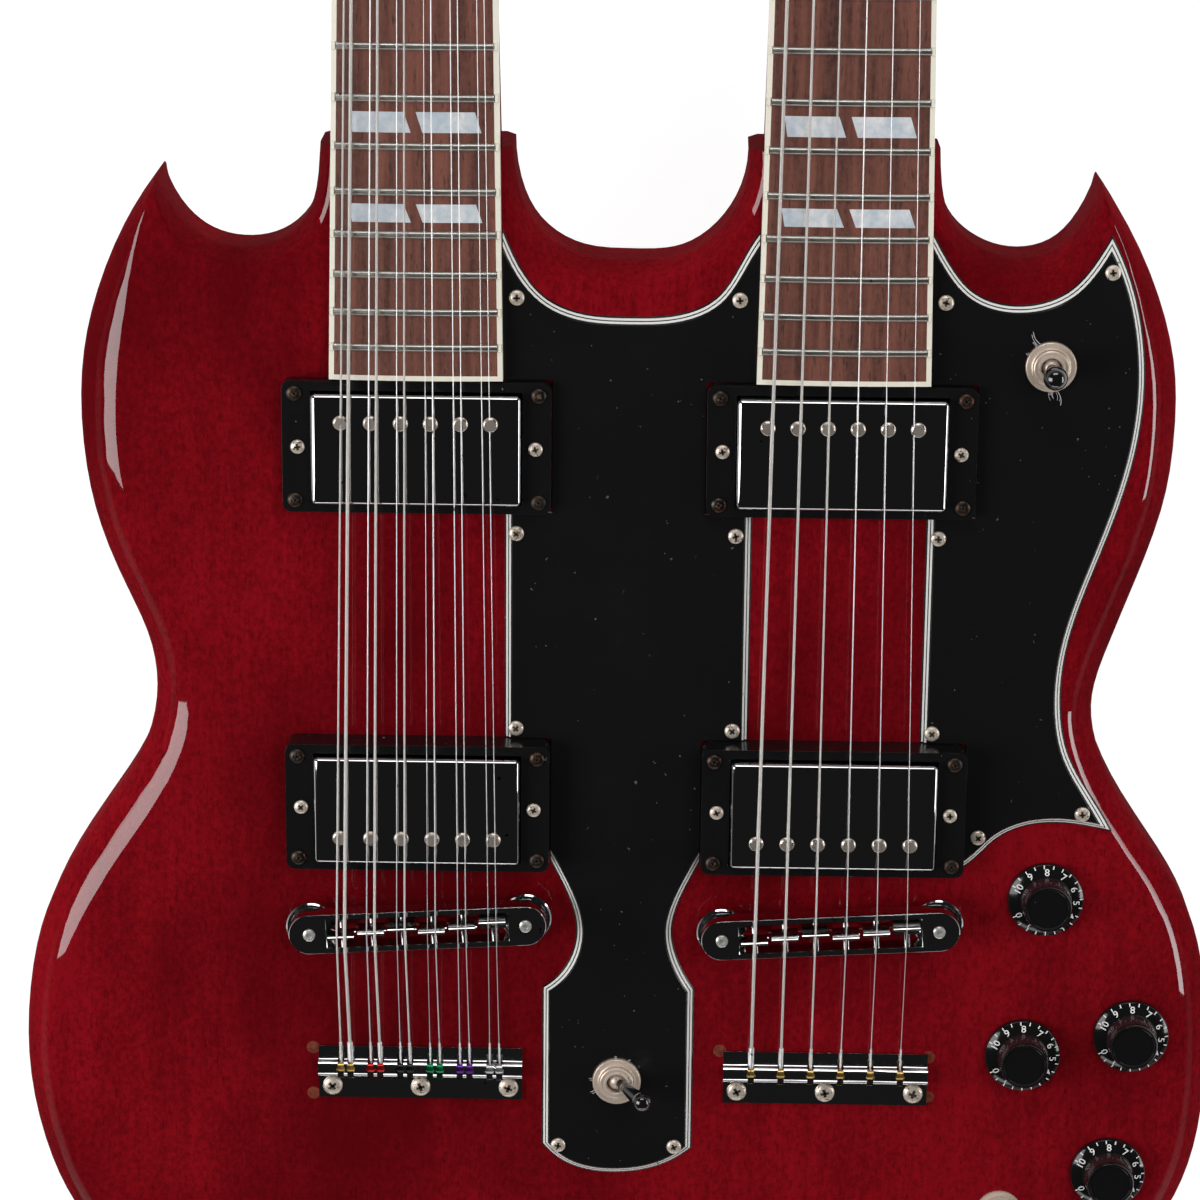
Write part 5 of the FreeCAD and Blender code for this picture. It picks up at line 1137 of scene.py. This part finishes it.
class GUITAR_OT_screws(bpy.types.Operator):
    """Screw heads with cross recesses or slots, the painted shade in their recesses and their
    shanks
    """

    bl_idname = "guitar.screws"
    bl_label = "Screws"

    END = 0.0002  # a shank's length in metres that is left out at its tip
    THINNEST = 0.0005

    def execute(self, context):
        crossed = screw_head("crossed_head", 0.46, 0.66, (0, 90), 0.16)
        slotted = screw_head("slotted_head", 0.40, 1.2, (0,), 0.24)
        fills = {
            crossed.name: recess_fill("crossed_fill", 0.46, 0.6, (0, 90), 0.15),
            slotted.name: recess_fill("slotted_fill", 0.46, 0.86, (0,), 0.235),
        }
        # Painted shade: a near-black colour with a few brown specks for the bottoms of the
        # recesses
        tarnish_and_painted_shade = plain_plastic("recess grime", (0.03, 0.024, 0.02), 0.8, (0.12, 0.08, 0.05), 0.6)
        nickel = plated_metal("screw nickel", (0.74, 0.64, 0.54), 0.34, 0.1,
                              (0.16, 0.12, 0.09), 0.62, 900, metallic=0.6)
        rusty = plated_metal("screw rusty", (0.06, 0.05, 0.045), 0.35, 0.25,
                             (0.15, 0.06, 0.03), 0.56, 900)
        polished = plated_metal("pole nickel", (0.68, 0.60, 0.53), 0.24, 0.12,
                                (0.2, 0.15, 0.11), 0.68, 900, metallic=0.8)
        rows = [
            ("small_screws", crossed, nickel, "nickel_screw", 1),
            ("ring_screws", crossed, rusty, "dark_screw", 2),
            ("height_screws", crossed, nickel, "nickel_screw", 3),
            ("tailpiece_screws", crossed, nickel, "nickel_screw", 4),
            ("pole_screws", slotted, polished, "nickel_screw", 5),
        ]
        for node, head, material, slot, spread in rows:
            places = screw_places(node, spread)
            heads = copies_of(node + "_heads", head, places, material)
            # The dark block in every head's recess is painted shade
            painted_recess_shade = copies_of(node + "_recess", fills[head.name], places, tarnish_and_painted_shade, 0)
            settle(painted_recess_shade, slot)
            shanks = self.shanks(node, material)
            whole = joined_mesh(node + "_pieces", [heads.data, shanks.data])
            scrap(heads, shanks)
            piece = new_piece(node + "_pieces", whole, material, 35)
            settle(piece, slot, node)
        scrap(crossed, slotted, *fills.values())
        return {"FINISHED"}

    def shanks(self, node, material):
        """The threaded part of each screw, as long as the CAD's."""
        lines, thick = [], []
        for points in loose_parts(node):
            centre, axis, along, aside = long_axis(points)
            rim = along[aside > aside.max() * 0.97].min()
            if node == "pole_screws":
                axis, rim = np.array((0.0, 0.0, 1.0)), np.ptp(along) / 2 - 0.5 * MM
            foot = points[along < along.min() + self.END]
            aside = foot - centre - np.outer((foot - centre) @ axis, axis)
            radius = max(np.linalg.norm(aside, axis=1).max(), self.THINNEST)
            lines.append([
                centre + axis * (along.min() + self.END), centre + axis * (rim + 0.1 * MM)
            ])
            thick.append(radius * 0.97)
        seed = lines_mesh(node + "_lines", lines, thick)
        return grown_piece(node + "_shanks", seed, wire_tree(), material, sides=12)


# Strings


def centre_line(points):
    """The centres of a string's full rings, from the tailpiece to the post, and its radius."""
    order = points[np.argsort(points[:, 1])]
    breaks = np.flatnonzero(np.diff(order[:, 1]) > 0.15 * MM) + 1
    rings = np.split(order, breaks)
    radius = np.ptp(rings[0][:, 0]) / 2
    line = []
    for ring in rings:
        spread = np.ptp(ring, axis=0)
        if spread[0] > 1.8 * radius and 1.7 * radius < spread[2] < 2.7 * radius:
            line.append(Vector(sum(corners(ring)) / 2))
    return line, radius


class GUITAR_OT_strings(bpy.types.Operator):
    """Plain and wound strings, their twisted ends, post windings and ball ends"""

    bl_idname = "guitar.strings"
    bl_label = "Strings"

    WOUND_FROM = 0.00027  # radii in metres
    THINNEST_TWIST = 0.00016
    TWISTED_LENGTH = 0.0095
    POST_STEPS, POST_TURNS = 14, 3
    COIL_PITCH = 2.06  # in radii of the string

    def helix(self, start, along, radius, turns, pitch, phase, steps=10):
        """Points of a close winding round a line."""
        along = along.normalized()
        side = along.orthogonal().normalized()
        other = along.cross(side)
        return [
            start
            + along * (pitch * step / steps)
            + (side * math.cos(phase + 2 * math.pi * step / steps)
               + other * math.sin(phase + 2 * math.pi * step / steps)) * radius
            for step in range(int(turns * steps) + 1)
        ]

    def execute(self, context):
        plain, wound, twists = [], [], []
        posts = [long_axis(points) for points in loose_parts("tuner_posts")]
        for points in loose_parts("strings"):
            line, radius = centre_line(points)
            last = line[-1]
            centre, axis, _along, _aside = min(
                posts, key=lambda post: (Vector(post[0]) - last).length
            )
            axis = Vector(axis) if axis[2] > 0 else -Vector(axis)
            foot = Vector(centre) + axis * (last - Vector(centre)).dot(axis)
            arm = last - foot
            reach = arm.length
            way = (line[-1] - line[-2]).normalized()
            sense = 1 if arm.cross(way).dot(axis) > 0 else -1
            side = arm.normalized()
            other = axis.cross(side) * sense
            coil = [
                foot
                + (side * math.cos(2 * math.pi * step / self.POST_STEPS)
                   + other * math.sin(2 * math.pi * step / self.POST_STEPS)) * reach
                - axis * (radius * self.COIL_PITCH * step / self.POST_STEPS)
                for step in range(self.POST_STEPS * self.POST_TURNS + 1)
            ]
            (wound if radius > self.WOUND_FROM else plain).append((line[:-1] + coil, radius))
            ahead = (line[1] - line[0]).normalized()
            wire = max(radius * 0.55, self.THINNEST_TWIST)
            reach = radius + wire
            turns = sizes().twist_turns
            pitch = self.TWISTED_LENGTH / turns
            for phase in (0.0, math.pi):
                coil = self.helix(line[0], ahead, reach * 0.8, turns, pitch, phase)
                twists.append((coil, wire))
        steel = plated_metal("string steel", (0.88, 0.86, 0.85), 0.3, metallic=0.7)
        rows = [
            ("wound_strings", wound, wound_string()), ("plain_strings", plain, steel),
            ("twisted_ends", twists, steel),
        ]
        for name, lines, material in rows:
            seed = lines_mesh(name + "_lines", *zip(*lines))
            sides = 6 if name == "twisted_ends" else 12
            piece = grown_piece(name, seed, wire_tree(), material, 60, sides=sides)
            nodes = () if name == "twisted_ends" else ("strings",)
            settle(piece, "string_steel", *nodes)
        dress("ball_ends", ball_end_colours())
        return {"FINISHED"}


# Controls


def skirt_height(radius):
    """Height in millimetres of a knob's skirt over its foot at a radius."""
    return 2.3 + max(0.0, 12.6 - radius) * 0.30


class GUITAR_OT_knobs(bpy.types.Operator):
    """Top-hat knobs with dial numbers and marks"""

    bl_idname = "guitar.knobs"
    bl_label = "Knobs"

    # The numbers' places in degrees, then radii and heights in millimetres
    TURNS = (-150, -121, -90, -61, -31, -3, 25, 57, 90, 123, 156)
    DIGIT_RING = 10.3
    TICKS = (11.6, 12.75)
    SHAFT = 2.9
    LOWERED = 1.9  # matched to the picture, not measured

    def cap(self, name, middle, foot, top):
        tall = (top - foot) / MM
        profile = [
            (0, 3.2), (7.6, 3.2), (8.0, 0.0), (12.6, 0.0), (13.0, 0.35), (13.0, 1.7),
            (12.92, 2.1), (12.75, skirt_height(12.75)), (8.85, skirt_height(8.85)),
            (8.7, skirt_height(8.7) + 0.2), (8.6, skirt_height(8.6) + 0.9), (8.25, tall - 0.8),
            (8.1, tall - 0.3), (7.8, tall), (7.3, tall - 0.05), (6.9, tall - 0.55),
            (0, tall - 0.85),
        ]
        place = Matrix.Translation((middle.x, middle.y, foot))
        return turned_mesh(name, profile, 64, place)

    def dial_material(self, foot, top):
        black = tinted("black")
        stops = [
            (foot, black), (foot + 4.1 * MM, tinted("smoke")), (top - 1.4 * MM, black),
            (top + MM, black),
        ]
        return banded_plastic(
            "knob plastic", stops, 0.08, Coat_Weight=0.2, Specular_IOR_Level=0.3
        )

    def lettering(self, middle, foot):
        """Numbers 0 to 10 round the skirt, tops outwards, as one mesh."""
        meshes = []
        high = sizes().digit_height
        for number, turn in enumerate(self.TURNS):
            curve = bpy.data.curves.new(f"digit_{number}", "FONT")
            curve.body = str(number)
            curve.size = high * 1.38
            curve.align_x = "CENTER"
            curve.align_y = "CENTER"
            curve.resolution_u = 3
            curve.offset = high * 0.008
            text = in_scene(f"digit_{number}", curve)
            mesh = as_mesh(text)
            scrap(text)
            squeeze = Matrix.Diagonal((1.12, 1.0, 1.0, 1.0))
            angle = math.radians(turn)
            place = (
                spun(angle - math.pi / 2)
                @ Matrix.Translation((0, self.DIGIT_RING * MM, 0)) @ squeeze
            )
            mesh.transform(place)
            meshes.append(mesh)
        marks = sizes().tick_count
        span = math.radians(self.TURNS[-1] - self.TURNS[0])
        first = math.radians(self.TURNS[0])
        for step in range(marks):
            angle = first + span * step / (marks - 1)
            near, far = (radius * MM for radius in self.TICKS)
            mesh = box_mesh("mark", (-0.2 * MM, near, 0), (0.2 * MM, far, 0.00001))
            mesh.transform(spun(angle - math.pi / 2))
            meshes.append(mesh)
        whole = joined_mesh("dial", meshes)
        for vert in whole.vertices:
            radius = math.hypot(vert.co.x, vert.co.y) / MM
            lift = 0.05 if vert.co.z < 0.000005 else 0.07
            vert.co.z = (skirt_height(radius) + lift) * MM
        whole.transform(Matrix.Translation((middle.x, middle.y, foot)))
        return whole

    def execute(self, context):
        white = plain_plastic("dial white", (0.80, 0.80, 0.78), 0.5, (0.3, 0.3, 0.3), 0.74)
        for node in KNOBS:
            low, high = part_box(node)
            middle = (low + high) / 2
            foot = BODY_FACE + 0.6 * MM
            crown = high.z - self.LOWERED * MM
            cap = self.cap(node + "_cap", middle, foot, crown)
            top = (foot - low.z) / MM + 4
            shaft = turned_mesh(
                node + "_shaft", [(0, 0), (self.SHAFT, 0), (self.SHAFT, top), (0, top)], 24,
                Matrix.Translation((middle.x, middle.y, low.z)),
            )
            piece = new_piece(
                node + "_piece", joined_mesh(node + "_piece", [cap, shaft]),
                self.dial_material(foot, crown), 40,
            )
            dial = new_piece(node + "_dial", self.lettering(middle, foot), white, 0)
            settle(piece, "knob_plastic", node, on=node)
            settle(dial, "knob_plastic", on=node)
        dress("pots", plated_metal("pot steel", (0.45, 0.44, 0.42), 0.3))
        return {"FINISHED"}


class GUITAR_OT_switches(bpy.types.Operator):
    """Toggle switches with their washers and levers"""

    bl_idname = "guitar.switches"
    bl_label = "Switches"

    # Profiles and radii in millimetres, the levers' lean at rest in degrees
    RIM = [
        (5.95, 1.15), (8.25, 1.15), (8.25, 1.35), (8.05, 1.5), (7.7, 1.5), (7.5, 1.35),
        (6.7, 1.35), (6.5, 1.9), (6.2, 2.05), (5.95, 1.9), (5.95, 1.15),
    ]
    NUT = [
        (3.45, 3.15), (5.9, 3.15), (5.9, 3.35), (5.6, 3.55), (5.2, 3.55), (5.0, 3.3),
        (4.4, 3.3), (4.2, 3.55), (3.7, 3.55), (3.45, 3.35), (3.45, 3.15),
    ]
    LEAN = {"pickup_switch_lever": 0.0, "neck_switch_lever": 26.0}
    TIP = {"pickup_switch_lever": 4.0, "neck_switch_lever": 3.2}
    BALL = 2.6
    ROOT = 3.2
    TEETH = 80
    WASHER = 8.25
    # Torn film: the lever, bearing in degrees, reach and curl in millimetres
    THREADS = [
        ("pickup_switch_lever", 118, 6.0, 0.9), ("pickup_switch_lever", 128, 2.4, -0.5),
        ("pickup_switch_lever", 150, 1.6, 0.6), ("pickup_switch_lever", -78, 5.4, 0.8),
        ("pickup_switch_lever", -84, 3.4, -0.7), ("pickup_switch_lever", -92, 2.2, 0.5),
        ("neck_switch_lever", 92, 1.5, 0.4), ("neck_switch_lever", 178, 1.7, -0.4),
        ("neck_switch_lever", 205, 2.3, 0.6), ("neck_switch_lever", 60, 1.4, 0.4),
    ]

    def execute(self, context):
        nickel = worn_nickel("switch nickel", 800)
        dress("switches", nickel)
        black = black_plastic("lever black", 0.07, Coat_Weight=1.0, Coat_Roughness=0.02)
        trims = []
        for node in LEVERS:
            pivot = self.lever(node, black, nickel)
            place = Matrix.Translation(pivot)
            trims += [turned_mesh("trim", profile, 64, place) for profile in (self.RIM, self.NUT)]
        trim = new_piece("switch_trims", joined_mesh("switch_trims", trims), nickel, 25)
        settle(trim, "jack_nickel")
        self.knurls(nickel)
        self.film()
        return {"FINISHED"}

    def pivot(self, node):
        low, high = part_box(node)
        middle = (low + high) / 2
        x = middle.x if not self.LEAN[node] else low.x + self.BALL * MM
        return Vector((x, middle.y, GUARD_FACE))

    def lever(self, node, black, nickel):
        """A nickel ball and root under a black grip with a round tip; returns the pivot."""
        pivot = self.pivot(node)
        lean, tip = math.radians(self.LEAN[node]), self.TIP[node]
        reach = ((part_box(node)[1].z - pivot.z) / MM - tip) / math.cos(lean)
        place = Matrix.Translation(pivot) @ Matrix.Rotation(lean, 4, "Y")
        ball = [
            (self.ROOT * math.cos(a), self.ROOT * math.sin(a)) for a in np.linspace(-1.2, 1.1, 14)
        ]
        root = [(0, -3.0), *ball, (0, self.ROOT * math.sin(1.1))]
        neck = tip * 0.8
        start = -math.acos(0.8)
        dome = [
            (tip * math.cos(a), reach + tip * math.sin(a))
            for a in np.linspace(start, math.pi / 2, 16)
        ]
        dome[-1] = (0, reach + tip)
        grip = [(0, 2.6), (1.5, 2.6), (1.5, 4.7), (1.95, 4.95), (neck, reach - tip * 0.8), *dome]
        for part, profile, material, slot, nodes in (
            ("root", root, nickel, "jack_nickel", ()),
            ("grip", grip, black, "lever_black", (node,)),
        ):
            name = f"{node}_{part}"
            piece = new_piece(name, turned_mesh(name, profile, 40, place), material, 40)
            settle(piece, slot, *nodes, on=node)
        return pivot

    def knurls(self, nickel):
        """Fine teeth round the washers' rims."""
        tooth = new_piece("tooth", box_mesh(
            "tooth", (-0.2 * MM, -0.14 * MM, 0.15 * MM), (0.2 * MM, 0.14 * MM, 1.2 * MM)))
        places = []
        for node in LEVERS:
            pivot = self.pivot(node)
            for step in range(self.TEETH):
                angle = 2 * math.pi * step / self.TEETH
                arm = Vector((math.cos(angle), math.sin(angle), 0)) * self.WASHER * MM
                places.append((pivot + arm, (0, 0, 1), angle, 1.0))
        piece = copies_of("washer_knurls", tooth, places, nickel, 0)
        scrap(tooth)
        settle(piece, "jack_nickel")

    def film(self):
        """Torn ends of protective film held under the washers."""
        chance = random.Random(11)
        lines, thick = [], []
        for node, bearing, reach, curl in self.THREADS:
            pivot = self.pivot(node)
            angle = math.radians(bearing)
            out = Vector((math.cos(angle), math.sin(angle), 0))
            side = Vector((-out.y, out.x, 0))
            for strand in range(3):
                bend = curl * chance.uniform(0.5, 1.3)
                long = reach * chance.uniform(0.55, 1.0)
                shift = chance.uniform(-0.5, 0.5)
                lines.append([
                    pivot + (out * (8.0 + long * step / 8)
                             + side * (shift + bend * math.sin(step / 8 * 2.6))
                             + Vector((0, 0, 0.25 + 0.5 * step / 8))) * MM
                    for step in range(9)
                ])
                thick.append(chance.uniform(0.06, 0.13) * MM)
        seed = lines_mesh("film_lines", lines, thick)
        film = plain_plastic("torn film", (0.5, 0.48, 0.5), 0.3, (0.8, 0.8, 0.82), 0.6)
        piece = grown_piece("film_scraps", seed, wire_tree(), film, sides=5)
        settle(piece, "guard_plastic")


class GUITAR_OT_hardware(bpy.types.Operator):
    """Output jack, strap buttons and tuning machines"""

    bl_idname = "guitar.hardware"
    bl_label = "Jack, strap buttons and tuners"

    def execute(self, context):
        dress("output_jack", worn_nickel("jack nickel", 700))
        dress("strap_buttons", plated_metal("button nickel", tinted("nickel"), 0.12))
        chrome = plated_metal("tuner chrome", tinted("chrome"), 0.1)
        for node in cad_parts:
            if node.startswith("tuner_"):
                dress(node, chrome)
        return {"FINISHED"}


class GUITAR_PT_looks(bpy.types.Panel):
    bl_label = "Double-neck guitar"
    bl_idname = "GUITAR_PT_looks"
    bl_space_type = "VIEW_3D"
    bl_region_type = "UI"
    bl_category = "Guitar"

    def draw(self, context):
        layout = self.layout
        for operator in OPERATORS:
            layout.operator(operator.bl_idname)
        for group in (context.scene.guitar_colours, context.scene.guitar_sizes):
            for key in group.__annotations__:
                layout.prop(group, key)


OPERATORS = (
    GUITAR_OT_stage, GUITAR_OT_wood, GUITAR_OT_boards, GUITAR_OT_guards, GUITAR_OT_pickups,
    GUITAR_OT_bridges, GUITAR_OT_screws, GUITAR_OT_strings, GUITAR_OT_knobs,
    GUITAR_OT_switches, GUITAR_OT_hardware,
)
CLASSES = (GuitarColours, GuitarSizes, *OPERATORS, GUITAR_PT_looks)


def register():
    for item in CLASSES:
        bpy.utils.register_class(item)
    bpy.types.Scene.guitar_colours = bpy.props.PointerProperty(type=GuitarColours)
    bpy.types.Scene.guitar_sizes = bpy.props.PointerProperty(type=GuitarSizes)


def unregister():
    del bpy.types.Scene.guitar_sizes
    del bpy.types.Scene.guitar_colours
    for item in reversed(CLASSES):
        bpy.utils.unregister_class(item)


def main():
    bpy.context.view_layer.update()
    register()
    for operator in OPERATORS:
        group, name = operator.bl_idname.split(".")
        getattr(getattr(bpy.ops, group), name)()
    bpy.context.view_layer.update()


if __name__ == "__main__":
    main()
